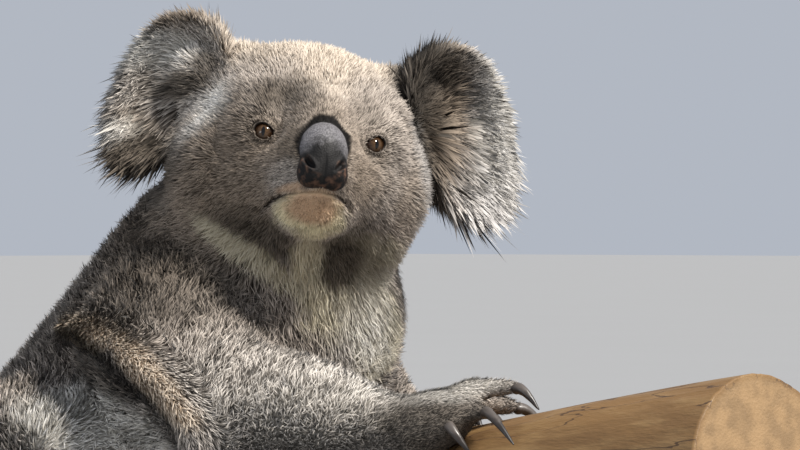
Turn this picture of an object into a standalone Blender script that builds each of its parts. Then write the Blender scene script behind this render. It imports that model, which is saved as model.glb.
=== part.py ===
"""A life-size still koala crouching on a cut length of tree branch, on a plain display stand.

Metres, +Z up. The origin is the middle of the stand's underside. The body faces +X, up the
branch, and the head is turned to the koala's own right, towards -Y.
The solids are the outline of the animal with its coat on.
"""

import math

import bmesh
import bpy
import numpy as np
from mathutils import Matrix, Vector

# --- Driving dimensions -----------------------------------------------------------------------
GAP = 0.00060  # clearance between pieces that meet
SLIVER = 0.00004  # points nearer than this are merged after a cut
FLAT = math.radians(1.2)  # faces within this of one plane are merged after a cut

BRANCH_RADIUS = 0.054
BRANCH_LOW_X, BRANCH_HIGH_X = -0.235, 0.368
BEND_X, BEND_Z = 0.150, 0.279  # where the branch starts to steepen, on its centre line
EASY_SLOPE = 0.168  # rise over run ahead of the bend
STEEPENING = 1.44  # how fast the slope grows behind it, per metre

BASE_SIZE = (0.420, 0.270, 0.018)
BASE_CORNER = 0.040
ROD_RADIUS = 0.009
ROD_X = (-0.120, 0.190)
ROD_DEPTH = 0.010  # how far a rod reaches into the base and into the branch

HEAD_PLACE = Vector((0.060, -0.012, 0.470))
HEAD_TURN, HEAD_TILT, HEAD_CHIN_UP = (math.radians(a) for a in (53.0, 6.5, 8.0))

EYE_RADIUS = 0.0075
EYE_PLACE = Vector((0.0285, -0.0410, 0.0055))
FACE_SHIFT = 0.003  # of the face to the koala's left, against the skull
EAR_SHIFT = {-1: 0.0075, 1: 0.0065}
EAR_SIZE = {-1: 0.92, 1: 1.0}
EAR_LIFT = {-1: 0.003, 1: 0.0}
NOSE_SIZE = (0.0135, 0.0115, 0.0210)  # half width, half thickness, half length
NOSE_PLACE = Vector((FACE_SHIFT, -0.0655, -0.0040))
NOSE_SLANT = math.radians(24.0)

TRIANGLES = {"torso": 470, "arm": 205, "leg": 205, "head": 750}
TRIANGLES.update({"hand": 340, "foot": 270, "ear": 190, "nose": 180})
BALL_SPACING = 0.4  # between the balls of a limb, of their radius
CLAW_SIDES_RESOLUTION = 0  # four sides
CLAW_STEPS = 4

HIDE = (0.33, 0.29, 0.26)
COLOURS = {  # colour, roughness
    "fur": (HIDE, 0.95),
    "ear_fur": ((0.45, 0.42, 0.39), 0.95),
    "nose_skin": ((0.055, 0.050, 0.052), 0.55),
    "eye": ((0.16, 0.075, 0.030), 0.10),
    "claw": ((0.045, 0.038, 0.034), 0.35),
    "bark": ((0.46, 0.33, 0.21), 0.80),
    "stand": ((0.30, 0.19, 0.11), 0.45),
    "rod": ((0.42, 0.41, 0.40), 0.35),
}


# --- Scene and materials ----------------------------------------------------------------------
def clear_scene():
    for old in list(bpy.data.objects):
        bpy.data.objects.remove(old, do_unlink=True)


def new_collection(name, hidden=False):
    made = bpy.data.collections.new(name)
    bpy.context.scene.collection.children.link(made)
    made.hide_render = hidden
    return made


def material(name):
    """The Principled material of that name, made once."""
    if name in bpy.data.materials:
        return bpy.data.materials[name]
    colour, roughness = COLOURS[name]
    made = bpy.data.materials.new(name)
    made.use_nodes = True
    shader = made.node_tree.nodes["Principled BSDF"]
    shader.inputs["Base Color"].default_value = (*colour, 1.0)
    shader.inputs["Roughness"].default_value = roughness
    shader.inputs["Metallic"].default_value = 1.0 if name == "rod" else 0.0
    return made


def add_object(name, data, collection):
    made = bpy.data.objects.new(name, data)
    collection.objects.link(made)
    return made


def finish_piece(piece, name, material_name):
    """Names a piece, gives it its material and shades it smooth up to a sharp edge."""
    piece.name = name
    piece.data.name = name
    piece.data.materials.clear()
    piece.data.materials.append(material(material_name))
    piece.data.shade_smooth()
    piece.data.set_sharp_from_angle(angle=math.radians(50))
    for old in list(piece.users_collection):
        old.objects.unlink(piece)
    KOALA.objects.link(piece)
    return piece


def bake(piece, weld=0.00002):
    """Replaces a piece's mesh by the one its modifiers or its curve give, in world space."""
    bpy.context.view_layer.update()
    graph = bpy.context.evaluated_depsgraph_get()
    mesh = bpy.data.meshes.new_from_object(piece.evaluated_get(graph))
    mesh.transform(piece.matrix_world)
    name = piece.name
    bpy.data.objects.remove(piece, do_unlink=True)
    soft = bmesh.new()
    soft.from_mesh(mesh)
    bmesh.ops.remove_doubles(soft, verts=soft.verts, dist=weld)
    bmesh.ops.triangulate(soft, faces=soft.faces)
    bmesh.ops.recalc_face_normals(soft, faces=soft.faces)
    soft.to_mesh(mesh)
    soft.free()
    return add_object(name, mesh, WORKSHOP)


# --- Soft forms -------------------------------------------------------------------------------
def ball(centre, radii, turn=Matrix.Identity(4)):
    """An ellipsoid, as the matrix that makes it from a unit sphere."""
    return Matrix.Translation(centre) @ turn @ Matrix.Diagonal((*radii, 1.0))


def chain(stations):
    """A limb as balls set close together between stations of (x, y, z, radius)."""
    balls = []
    for start, end in zip(stations, stations[1:]):
        a, b = Vector(start[:3]), Vector(end[:3])
        spacing = BALL_SPACING * min(start[3], end[3])
        steps = max(1, math.ceil((b - a).length / spacing))
        for i in range(steps + 1):
            radius = start[3] + (end[3] - start[3]) * i / steps
            balls.append(ball(a.lerp(b, i / steps), (radius,) * 3))
    return balls


def mesh_of_balls(name, balls, segments=20):
    """An object with a sphere for each ball, overlapping."""
    unit = bmesh.new()
    rings = segments * 2 // 3
    bmesh.ops.create_uvsphere(unit, u_segments=segments, v_segments=rings, radius=1.0)
    unit_points = np.array([(*v.co, 1.0) for v in unit.verts])
    unit_faces = [[v.index for v in f.verts] for f in unit.faces]
    unit.free()
    points, faces = [], []
    for i, matrix in enumerate(balls):
        points.append((unit_points @ np.array(matrix).T)[:, :3])
        start = i * len(unit_points)
        faces += [[start + index for index in face] for face in unit_faces]
    mesh = bpy.data.meshes.new(name)
    mesh.from_pydata(np.concatenate(points).tolist(), [], faces)
    return add_object(name, mesh, WORKSHOP)


def fuse(name, balls, voxel, smoothing, triangles):
    """Turns balls into one smooth skin of about that many triangles."""
    piece = mesh_of_balls(name, balls)
    remesh = piece.modifiers.new("fuse", "REMESH")
    remesh.mode = "VOXEL"
    remesh.voxel_size = voxel
    smooth = piece.modifiers.new("smooth", "SMOOTH")
    smooth.factor = 0.5
    smooth.iterations = smoothing
    piece = bake(piece)
    thin = piece.modifiers.new("thin", "DECIMATE")
    thin.ratio = triangles / len(piece.data.polygons)
    return bake(piece)


def swollen(piece, by):
    """A copy of a piece grown along its normals, to cut its neighbours with."""
    grown = add_object(piece.name + "_grown", piece.data.copy(), WORKSHOP)
    grow = grown.modifiers.new("grow", "DISPLACE")
    grow.strength = by
    grow.mid_level = 0.0
    return bake(grown)


def boolean(piece, other, operation="DIFFERENCE"):
    """Cuts a piece by another and merges the slivers and flat fragments the cut leaves.

    The merging is dropped where it would open the surface.
    """
    cut = piece.modifiers.new("cut", "BOOLEAN")
    cut.operation = operation
    cut.object = other
    piece = bake(piece, weld=0.000001)
    tidy = bmesh.new()
    tidy.from_mesh(piece.data)
    bmesh.ops.remove_doubles(tidy, verts=tidy.verts, dist=SLIVER)
    bmesh.ops.dissolve_degenerate(tidy, edges=tidy.edges, dist=SLIVER / 2)
    bmesh.ops.dissolve_limit(tidy, angle_limit=FLAT, verts=tidy.verts, edges=tidy.edges)
    bmesh.ops.triangulate(tidy, faces=tidy.faces)
    if all(edge.is_manifold for edge in tidy.edges):
        tidy.to_mesh(piece.data)
    tidy.free()
    return piece


def cut_by(piece, *others, gap=GAP):
    """Cuts a piece back from its neighbours, leaving the gap."""
    for other in others:
        piece = boolean(piece, swollen(other, gap))
    return piece


def loose_parts(piece):
    """The separate bodies of a mesh, each as its own object, largest first."""
    whole = bmesh.new()
    whole.from_mesh(piece.data)
    whole.faces.ensure_lookup_table()
    island = [-1] * len(whole.faces)
    count = 0
    for seed in whole.faces:
        if island[seed.index] >= 0:
            continue
        island[seed.index] = count
        front = [seed]
        while front:
            face = front.pop()
            for edge in face.edges:
                for near in edge.link_faces:
                    if island[near.index] < 0:
                        island[near.index] = count
                        front.append(near)
        count += 1
    whole.free()
    parts = []
    for wanted in range(count):
        one = bmesh.new()
        one.from_mesh(piece.data)
        one.faces.ensure_lookup_table()
        others = [f for f in one.faces if island[f.index] != wanted]
        bmesh.ops.delete(one, geom=others, context="FACES")
        mesh = bpy.data.meshes.new("loose")
        one.to_mesh(mesh)
        volume = one.calc_volume()
        one.free()
        parts.append((volume, add_object("loose", mesh, WORKSHOP)))
    parts.sort(key=lambda part: -part[0])
    return parts


def centre_of(piece):
    points = [vertex.co for vertex in piece.data.vertices]
    return sum(points, Vector()) / len(points)


# --- Perch and stand --------------------------------------------------------------------------
def branch_height(x):
    """Height of the branch's centre line, which steepens behind the bend."""
    back = max(0.0, BEND_X - x)
    return BEND_Z + EASY_SLOPE * (x - BEND_X) - STEEPENING * back * back / 2


def branch_radius(x):
    t = (x - BRANCH_LOW_X) / (BRANCH_HIGH_X - BRANCH_LOW_X)
    return BRANCH_RADIUS * (1.07 - 0.11 * t + 0.02 * math.sin(9.0 * t))


def on_branch(x, degrees, lift, side):
    """A spot lifted off the bark, so many degrees round from the top of the branch.

    side is -1 towards the koala's right and 1 towards its left.
    """
    slope = (branch_height(x + 0.001) - branch_height(x - 0.001)) / 0.002
    top = Vector((-slope, 0.0, 1.0)).normalized()
    angle = math.radians(degrees)
    outward = top * math.cos(angle) + Vector((0.0, side * math.sin(angle), 0.0))
    return Vector((x, 0.0, branch_height(x))) + outward * (branch_radius(x) + lift)


def make_branch():
    """A tapering limb, as a curve with a bevel along the centre line."""
    curve = bpy.data.curves.new("perch_branch", "CURVE")
    curve.dimensions = "3D"
    curve.bevel_depth = BRANCH_RADIUS
    curve.bevel_resolution = 5
    curve.use_fill_caps = True
    steps = 9
    spline = curve.splines.new("POLY")
    spline.points.add(steps)
    for i, point in enumerate(spline.points):
        t = i / steps
        x = BRANCH_LOW_X + (BRANCH_HIGH_X - BRANCH_LOW_X) * t
        point.co = (x, 0.0, branch_height(x), 1.0)
        point.radius = branch_radius(x) / BRANCH_RADIUS
    return bake(add_object("perch_branch", curve, WORKSHOP))


def make_rod(x):
    """A rod from inside the base up into the underside of the branch."""
    slope = (branch_height(x + 0.01) - branch_height(x - 0.01)) / 0.02
    underside = branch_height(x) - BRANCH_RADIUS * math.hypot(1.0, slope)
    low, high = BASE_SIZE[2] - ROD_DEPTH, underside + ROD_DEPTH
    rod = bmesh.new()
    bmesh.ops.create_cone(
        rod,
        cap_ends=True,
        segments=16,
        radius1=ROD_RADIUS,
        radius2=ROD_RADIUS,
        depth=high - low,
        matrix=Matrix.Translation((x, 0.0, (high + low) / 2)),
    )
    mesh = bpy.data.meshes.new("rod")
    rod.to_mesh(mesh)
    rod.free()
    return bake(add_object("rod", mesh, WORKSHOP))


def make_base():
    """A flat board with round corners and a softened top edge."""
    length, width, height = BASE_SIZE
    board = bmesh.new()
    bmesh.ops.create_cube(
        board,
        size=1.0,
        matrix=Matrix.Translation((0, 0, height / 2)) @ Matrix.Diagonal((*BASE_SIZE, 1.0)),
    )
    uprights = [e for e in board.edges if abs(e.verts[0].co.z - e.verts[1].co.z) > height / 2]
    round_off = {"affect": "EDGES", "profile": 0.5}
    bmesh.ops.bevel(board, geom=uprights, offset=BASE_CORNER, segments=5, **round_off)
    rim = [e for e in board.edges if min(v.co.z for v in e.verts) > height * 0.99]
    bmesh.ops.bevel(board, geom=rim, offset=0.003, segments=1, **round_off)
    mesh = bpy.data.meshes.new("stand_base")
    board.to_mesh(mesh)
    board.free()
    return bake(add_object("stand_base", mesh, WORKSHOP))


# --- Head -------------------------------------------------------------------------------------
def head_frame():
    """Carries head coordinates, face towards -Y and koala's left at +X, to their place."""
    turn = Matrix.Rotation(HEAD_TURN, 4, "Z")
    tilt = Matrix.Rotation(HEAD_TILT, 4, "Y")
    chin_up = Matrix.Rotation(-HEAD_CHIN_UP, 4, "X")
    return Matrix.Translation(HEAD_PLACE) @ turn @ tilt @ chin_up


def both_sides(x, y, z, radii):
    """A pair of balls, one on each side of the face."""
    return [ball((side * x + FACE_SHIFT, y, z), radii) for side in (-1, 1)]


def in_head(balls):
    """The balls carried from head coordinates to their place."""
    return [head_frame() @ matrix for matrix in balls]


def make_head():
    balls = [
        ball((0, 0.012, 0.012), (0.061, 0.058, 0.054)),  # cranium
        ball((0, 0.042, 0.000), (0.052, 0.038, 0.048)),  # back of the skull
        ball((0, 0.000, -0.018), (0.052, 0.046, 0.038)),  # inside the cheeks
        ball((FACE_SHIFT, -0.036, -0.012), (0.034, 0.036, 0.034)),  # muzzle
        ball((FACE_SHIFT, -0.042, 0.012), (0.020, 0.020, 0.026)),  # bridge of the nose
        ball((FACE_SHIFT, -0.050, -0.036), (0.023, 0.021, 0.014)),  # chin
    ]
    for side in (-1, 1):
        balls.append(ball((side * 0.034, 0.000, -0.009), (0.037, 0.040, 0.039)))  # cheek
        balls.append(ball((side * 0.029, 0.004, -0.031), (0.034, 0.040, 0.031)))  # jowl
    balls += both_sides(0.022, -0.020, -0.012, (0.031, 0.034, 0.035))  # beside the muzzle
    balls += both_sides(0.028, -0.018, 0.023, (0.025, 0.024, 0.020))  # brows
    balls += both_sides(0.014, -0.056, -0.022, (0.012, 0.012, 0.010))  # lips
    head = fuse("head", in_head(balls), 0.0026, 9, TRIANGLES["head"])
    sockets = both_sides(EYE_PLACE.x, EYE_PLACE.y - 0.0080, EYE_PLACE.z, (0.0115, 0.0090, 0.0105))
    return boolean(head, bake(mesh_of_balls("sockets", in_head(sockets), segments=12)))


def make_nose():
    """The bare pad, fuller at the nostrils than at the top."""
    slant = Matrix.Rotation(-NOSE_SLANT, 4, "X")
    balls = [ball(NOSE_PLACE, NOSE_SIZE, slant)]
    for side in (-1, 1):
        wing = NOSE_PLACE + Vector((side * 0.0062, -0.0050, -0.0120))
        balls.append(ball(wing, (0.0080, 0.0095, 0.0085)))
    return fuse("nose", in_head(balls), 0.0011, 5, TRIANGLES["nose"])


def make_eye(side):
    eye = bmesh.new()
    place = Vector((side * EYE_PLACE.x + FACE_SHIFT, EYE_PLACE.y, EYE_PLACE.z))
    bmesh.ops.create_icosphere(
        eye,
        subdivisions=2,
        radius=EYE_RADIUS,
        matrix=head_frame() @ Matrix.Translation(place),
    )
    mesh = bpy.data.meshes.new("eye")
    eye.to_mesh(mesh)
    eye.free()
    return bake(add_object("eye", mesh, WORKSHOP))


def make_ear(side):
    """A broad fan with a shallow cup in front, out to the ends of its fringe."""
    lean = Matrix.Rotation(math.radians(side * -20.0), 4, "Y")
    swing = Matrix.Rotation(math.radians(side * 24.0), 4, "Z")
    pose = swing @ lean
    shift, lift, k = EAR_SHIFT[side], EAR_LIFT[side], EAR_SIZE[side]
    balls = [
        ball((side * 0.074 + shift, 0.016, 0.030 + lift), (0.034 * k, 0.016, 0.047 * k), pose),
        ball((side * 0.086 + shift, 0.020, 0.010 + lift), (0.027 * k, 0.014, 0.036 * k), pose),
        ball((side * 0.056 + shift, 0.012, 0.044 + lift), (0.022 * k, 0.016, 0.024 * k), pose),
        ball((side * 0.056, 0.014, 0.024), (0.016, 0.015, 0.024), pose),
    ]
    ear = fuse("ear", in_head(balls), 0.0022, 5, TRIANGLES["ear"])
    cup = [ball((side * 0.076 + shift, -0.006, 0.030 + lift), (0.019, 0.015, 0.024), pose)]
    return boolean(ear, bake(mesh_of_balls("cup", in_head(cup), segments=12)))


# --- Body and limbs ---------------------------------------------------------------------------
TRUNK = (
    (-0.158, 0.000, 0.268, 0.077),
    (-0.112, 0.000, 0.289, 0.085),
    (-0.058, 0.000, 0.334, 0.084),
    (0.006, 0.000, 0.387, 0.086),
)
NECK = (
    (0.008, 0.000, 0.400, 0.077),
    (0.023, -0.003, 0.416, 0.070),
    (0.036, -0.006, 0.430, 0.064),
    (0.052, -0.010, 0.452, 0.056),
)
# Each limb runs from its root to the wrist or ankle, which is a place on the branch.
ARM_RIGHT = (
    (0.010, -0.056, 0.380, 0.050),
    (0.050, -0.080, 0.358, 0.045),
    (0.086, -0.086, 0.343, 0.041),
    (0.125, -0.070, 0.343, 0.033),
)
ARM_LEFT = (
    (-0.008, 0.052, 0.372, 0.046),
    (0.002, 0.082, 0.336, 0.039),
    (0.018, 0.092, 0.310, 0.034),
    (0.060, 0.080, 0.309, 0.028),
)
LEG_RIGHT = (
    (-0.130, -0.061, 0.284, 0.057),
    (-0.070, -0.084, 0.310, 0.052),
    (-0.012, -0.104, 0.314, 0.040),
    (0.022, -0.094, 0.284, 0.030),
)
LEG_LEFT = (
    (-0.130, 0.061, 0.282, 0.057),
    (-0.082, 0.084, 0.296, 0.052),
    (-0.040, 0.106, 0.288, 0.040),
    (-0.014, 0.096, 0.260, 0.030),
)
# Spots of the hands and feet: (along X from the wrist, degrees round the branch, lift, radius).
# A digit is its root, knuckle and end, then the tip of its claw without a radius.
PALM = ((0.000, 43, 0.0170, 0.0195), (0.010, 38, 0.0150, 0.0195), (0.020, 33, 0.0140, 0.0165))
FINGERS = (
    ((0.000, 20, 0.011, 0.0090), (-0.002, 4, 0.011, 0.0080), (-0.002, -10, 0.0090, 0.0060), (0.005, -27, 0.0015)),
    ((0.006, 18, 0.012, 0.0095), (0.012, 2, 0.012, 0.0085), (0.018, -14, 0.0095, 0.0064), (0.026, -32, 0.0015)),
    ((0.010, 27, 0.014, 0.0095), (0.023, 16, 0.019, 0.0085), (0.0455, 10, 0.0150, 0.0064), (0.060, 11, 0.0015)),
    ((0.010, 37, 0.014, 0.0100), (0.025, 29, 0.017, 0.0090), (0.0435, 30, 0.0110, 0.0066), (0.070, 49, 0.0015)),
    ((0.006, 44, 0.015, 0.0095), (0.0195, 40, 0.020, 0.0085), (0.031, 41, 0.0160, 0.0062), (0.0425, 51, 0.0015)),
)
SOLE = ((0.000, 98, 0.0180, 0.0210), (0.020, 92, 0.0140, 0.0185), (0.036, 88, 0.0125, 0.0150))
TOES = (  # the inner toe has no claw
    ((0.010, 80, 0.012, 0.0100), (0.008, 58, 0.011, 0.0088), (0.010, 42, 0.0095, 0.0072)),
    ((0.036, 80, 0.011, 0.0080), (0.050, 72, 0.011, 0.0068), (0.062, 66, 0.0095, 0.0052), (0.075, 60, 0.0015)),
    ((0.038, 86, 0.011, 0.0080), (0.054, 79, 0.011, 0.0068), (0.067, 74, 0.0095, 0.0052), (0.081, 69, 0.0015)),
    ((0.038, 95, 0.012, 0.0095), (0.058, 92, 0.012, 0.0085), (0.073, 88, 0.0105, 0.0062), (0.090, 84, 0.0015)),
    ((0.032, 106, 0.012, 0.0095), (0.050, 108, 0.012, 0.0085), (0.063, 106, 0.0105, 0.0062), (0.078, 103, 0.0015)),
)


def paw_spot(start_x, side, turn, spot):
    """The place of a hand's or foot's spot, with its radius where it has one."""
    x, degrees, lift = spot[:3]
    return (*on_branch(start_x + x, degrees + turn, lift, side), *spot[3:])


def make_limb(name, stations, start_x, side, turn, first):
    """A limb from its root to the wrist or ankle."""
    balls = chain((*stations, paw_spot(start_x, side, turn, first)))
    return fuse(name, balls, 0.0040, 5, TRIANGLES[name[:3]])


def make_paw(name, start_x, side, turn, palm, digits):
    """A palm or sole with its digits. Claws are made separately."""
    balls = chain([paw_spot(start_x, side, turn, spot) for spot in palm])
    for digit in digits:
        balls += chain([paw_spot(start_x, side, turn, spot) for spot in digit[:3]])
    return fuse(name, balls, 0.0018, 4, TRIANGLES[name[:4]])


def make_claw(name, start_x, side, turn, digit):
    """A curved tapering claw, from inside the digit to its tip."""
    end, tip = (Vector(paw_spot(start_x, side, turn, spot)[:3]) for spot in digit[2:])
    above = Vector(paw_spot(start_x, side, turn, (*digit[2][:2], 0.05))[:3])
    thickness = 0.52 * digit[2][3]
    root = end + (tip - end).normalized() * 0.2 * digit[2][3]
    crown = root.lerp(tip, 0.45) + (above - end).normalized() * 0.42 * (tip - root).length
    curve = bpy.data.curves.new(name, "CURVE")
    curve.dimensions = "3D"
    curve.bevel_depth = thickness
    curve.bevel_resolution = CLAW_SIDES_RESOLUTION
    curve.use_fill_caps = True
    spline = curve.splines.new("POLY")
    spline.points.add(CLAW_STEPS)
    for i, point in enumerate(spline.points):
        t = i / CLAW_STEPS
        place = root * (1 - t) ** 2 + crown * 2 * t * (1 - t) + tip * t * t
        point.co = (*place, 1.0)
        point.radius = 1.0 - 0.86 * t**2.0
    return bake(add_object(name, curve, WORKSHOP))


def joined(pieces):
    """One mesh of several pieces that don't touch, to cut with."""
    every = bmesh.new()
    for piece in pieces:
        every.from_mesh(piece.data)
    mesh = bpy.data.meshes.new("joined")
    every.to_mesh(mesh)
    every.free()
    return add_object("joined", mesh, WORKSHOP)


def split_at(piece, before, station, ahead, names):
    """Parts a limb in two at a joint with a thin disc that halves the bend."""
    centre = Vector(station[:3])
    towards = (Vector(ahead[:3]) - centre).normalized() + (centre - Vector(before[:3])).normalized()
    turn = towards.to_track_quat("Z", "Y").to_matrix().to_4x4()
    disc = bmesh.new()
    bmesh.ops.create_cone(
        disc,
        cap_ends=True,
        segments=24,
        radius1=station[3] * 1.9,
        radius2=station[3] * 1.9,
        depth=GAP,
        matrix=Matrix.Translation(centre) @ turn,
    )
    mesh = bpy.data.meshes.new("joint")
    disc.to_mesh(mesh)
    disc.free()
    halves = loose_parts(boolean(piece, bake(add_object("joint", mesh, WORKSHOP))))
    halves = [half for _, half in halves[:2]]
    halves.sort(key=lambda half: (centre_of(half) - centre).dot(towards))
    for half, name in zip(halves, names):
        half.name = name
    return halves


# --- Assembly ---------------------------------------------------------------------------------
clear_scene()
KOALA = new_collection("koala")
WORKSHOP = new_collection("workshop", hidden=True)
SIDES = {"right": -1, "left": 1}
HAND_STARTS = {"right": (0.1765, 0), "left": (0.1100, 8)}  # along X, degrees further round
FOOT_STARTS = {"right": (0.060, 0), "left": (0.010, 0)}
ARMS = {"right": ARM_RIGHT, "left": ARM_LEFT}
LEGS = {"right": LEG_RIGHT, "left": LEG_LEFT}


def make_extremity(kind, name, start, side, palm, digits, branch):
    """A hand or foot with its claws, cut back from the branch."""
    claws = []
    for number, digit in enumerate(digits, 1):
        if len(digit) == 4:
            claw = make_claw(f"claw_{kind}_{name}_{number}", start[0], side, start[1], digit)
            claws.append(cut_by(claw, branch))
    paw = make_paw(f"{kind}_{name}", start[0], side, start[1], palm, digits)
    return only_body(cut_by(paw, branch, joined(claws))), claws


def only_body(piece):
    """The largest body of a piece, without the crumbs that a cut can leave."""
    name = piece.name
    parts = loose_parts(piece)
    bpy.data.objects.remove(piece, do_unlink=True)
    for _, crumb in parts[1:]:
        bpy.data.objects.remove(crumb, do_unlink=True)
    parts[0][1].name = name
    return parts[0][1]


def main():
    branch, base = make_branch(), make_base()
    rods = [make_rod(x) for x in ROD_X]
    branch, base = cut_by(branch, *rods), cut_by(base, *rods)
    nose, head = make_nose(), make_head()
    eyes = {name: make_eye(side) for name, side in SIDES.items()}
    head = only_body(cut_by(head, nose, *eyes.values()))
    ears = {name: only_body(cut_by(make_ear(side), head)) for name, side in SIDES.items()}

    arms, legs, hands, feet, claws = {}, {}, {}, {}, []
    for name, side in SIDES.items():
        start, round_by = HAND_STARTS[name]
        hand = make_extremity("hand", name, HAND_STARTS[name], side, PALM, FINGERS, branch)
        foot = make_extremity("foot", name, FOOT_STARTS[name], side, SOLE, TOES, branch)
        hands[name], feet[name] = hand[0], foot[0]
        claws += hand[1] + foot[1]
        arm = make_limb("arm", ARMS[name], start, side, round_by, PALM[0])
        arms[name] = only_body(cut_by(arm, branch, head, hands[name], feet[name]))
        start, round_by = FOOT_STARTS[name]
        leg = make_limb("leg", LEGS[name], start, side, round_by, SOLE[0])
        leg = cut_by(leg, feet[name], gap=1.5 * GAP)
        legs[name] = only_body(cut_by(leg, branch, arms[name]))

    torso = fuse("torso", chain(TRUNK) + chain(NECK), 0.0050, 5, TRIANGLES["torso"])
    trunk, neck = split_at(torso, *NECK[:3], ("trunk", "neck"))
    neck = only_body(cut_by(neck, head, *arms.values()))
    trunk = cut_by(trunk, branch, head, *arms.values(), *legs.values(), feet["left"])
    trunk = only_body(trunk)

    finish_piece(branch, "perch_branch", "bark")
    finish_piece(base, "stand_base", "stand")
    finish_piece(rods[0], "stand_rod_back", "rod")
    finish_piece(rods[1], "stand_rod_front", "rod")
    finish_piece(trunk, "trunk", "fur")
    finish_piece(neck, "neck", "fur")
    finish_piece(head, "head", "fur")
    finish_piece(nose, "nose", "nose_skin")
    for name in SIDES:
        finish_piece(eyes[name], f"eye_{name}", "eye")
        finish_piece(ears[name], f"ear_{name}", "ear_fur")
        finish_piece(hands[name], f"hand_{name}", "fur")
        finish_piece(feet[name], f"foot_{name}", "fur")
        arm_names = (f"upper_arm_{name}", f"forearm_{name}")
        for half in split_at(arms[name], *ARMS[name][1:4], arm_names):
            finish_piece(half, half.name, "fur")
        leg_names = (f"thigh_{name}", f"shank_{name}")
        for half in split_at(legs[name], *LEGS[name][1:4], leg_names):
            finish_piece(half, half.name, "fur")
    for claw in claws:
        finish_piece(claw, claw.name, "claw")
    for spare in list(WORKSHOP.objects):
        bpy.data.objects.remove(spare, do_unlink=True)


main()
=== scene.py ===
"""A koala on a cut length of branch: a still, life-size model on a plain display stand.

The solid frame gives every place and size. One skin covers the animal, and the
coat is laid over it in small tufts that follow the lie of the hair.
"""

import math

import bmesh
import bpy
import numpy as np
from bpy.props import FloatProperty, FloatVectorProperty, PointerProperty
from bpy.types import Operator, Panel, PropertyGroup
from mathutils import Matrix, Vector, noise
from mathutils.bvhtree import BVHTree
from mathutils.kdtree import KDTree


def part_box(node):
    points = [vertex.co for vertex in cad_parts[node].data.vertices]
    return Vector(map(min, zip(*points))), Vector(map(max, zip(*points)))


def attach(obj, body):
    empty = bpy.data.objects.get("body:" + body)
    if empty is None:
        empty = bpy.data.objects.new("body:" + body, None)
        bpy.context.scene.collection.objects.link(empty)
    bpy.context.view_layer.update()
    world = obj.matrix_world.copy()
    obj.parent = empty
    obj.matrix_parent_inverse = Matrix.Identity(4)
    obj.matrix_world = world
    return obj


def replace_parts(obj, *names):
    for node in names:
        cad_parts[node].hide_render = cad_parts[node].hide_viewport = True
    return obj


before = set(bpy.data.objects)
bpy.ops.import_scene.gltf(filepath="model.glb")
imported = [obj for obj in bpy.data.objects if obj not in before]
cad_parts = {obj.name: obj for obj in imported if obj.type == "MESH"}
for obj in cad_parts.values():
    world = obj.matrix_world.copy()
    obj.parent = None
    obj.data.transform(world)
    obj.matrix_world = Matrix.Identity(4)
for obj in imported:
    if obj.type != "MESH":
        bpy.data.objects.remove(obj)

bl_info = {
    "name": "Koala model",
    "version": (1, 0, 0),
    "blender": (4, 5, 0),
    "location": "3D View > Sidebar > Koala",
    "description": "Skins, furs and finishes a still model of a koala on its branch",
    "category": "Object",
}

# ---------------------------------------------------------------- places

MM = 0.001
HEAD = (
    Matrix.Translation((0.060, -0.012, 0.470))
    @ Matrix.Rotation(math.radians(53.0), 4, "Z")
    @ Matrix.Rotation(math.radians(6.5), 4, "Y")
    @ Matrix.Rotation(math.radians(-8.0), 4, "X")
)  # in the head the face looks along -Y, the koala's left is +X and up is +Z
TO_HEAD = HEAD.inverted()
FACE_SHIFT = 0.003  # the middle of the face, off the middle of the head
NOSE_TIP = (FACE_SHIFT, -0.066, -0.004)
MUZZLE = (FACE_SHIFT, -0.060, -0.006)
FACE_MIDDLE = (FACE_SHIFT, -0.050, -0.008)
PAD_MIDDLE = (FACE_SHIFT, -0.0655, -0.0040)
PAD_TURN = np.array(Matrix.Rotation(math.radians(-24.0), 3, "X"))
EYE_RADIUS, CORNEA_BULGE = 0.0074, 0.00055
# of the right ear and the left one
EAR_SHIFT = {-1: 0.0075, 1: 0.0065}
EAR_SIZE = {-1: 0.92, 1: 1.0}
EAR_LIFT = {-1: 0.007, 1: 0.004}
SIDES = {"right": -1, "left": 1}
SENSOR = 36.0  # millimetres
CAMERA_AWAY, VIEW_WIDTH = 3.0, 0.416
BACKDROP = 0.57  # brightness of the empty background
# painted shade in grooves and ear hollows, and the deep colour of the lid rims and round the iris
SHADE_AND_RIM_COLOUR = (0.012, 0.008, 0.006, 1.0)
TUFT_DENT = 0.0008  # how deep a tuft's root is buried
TUFT_PATCH = 0.0013  # half the size of a tuft's patch on the flat pattern

BRANCH_RADIUS = 0.054
BRANCH_LOW_X, BRANCH_HIGH_X = -0.235, 0.368
BEND_X, BEND_Z = 0.150, 0.279
EASY_SLOPE, STEEPENING = 0.168, 1.44
# place along X, turn round the branch, half size and height of each knot
KNOTS = ((0.255, 1.9, 0.020, 0.0035), (-0.150, -1.2, 0.024, 0.0045), (0.060, 2.6, 0.018, 0.0035))

FLESH = (
    "head", "neck", "trunk", "nose", "eye_left", "eye_right",
    "upper_arm_left", "upper_arm_right", "forearm_left", "forearm_right",
    "hand_left", "hand_right", "thigh_left", "thigh_right",
    "shank_left", "shank_right", "foot_left", "foot_right",
)
HEAD_PARTS = ("head", "nose", "eye")
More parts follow.
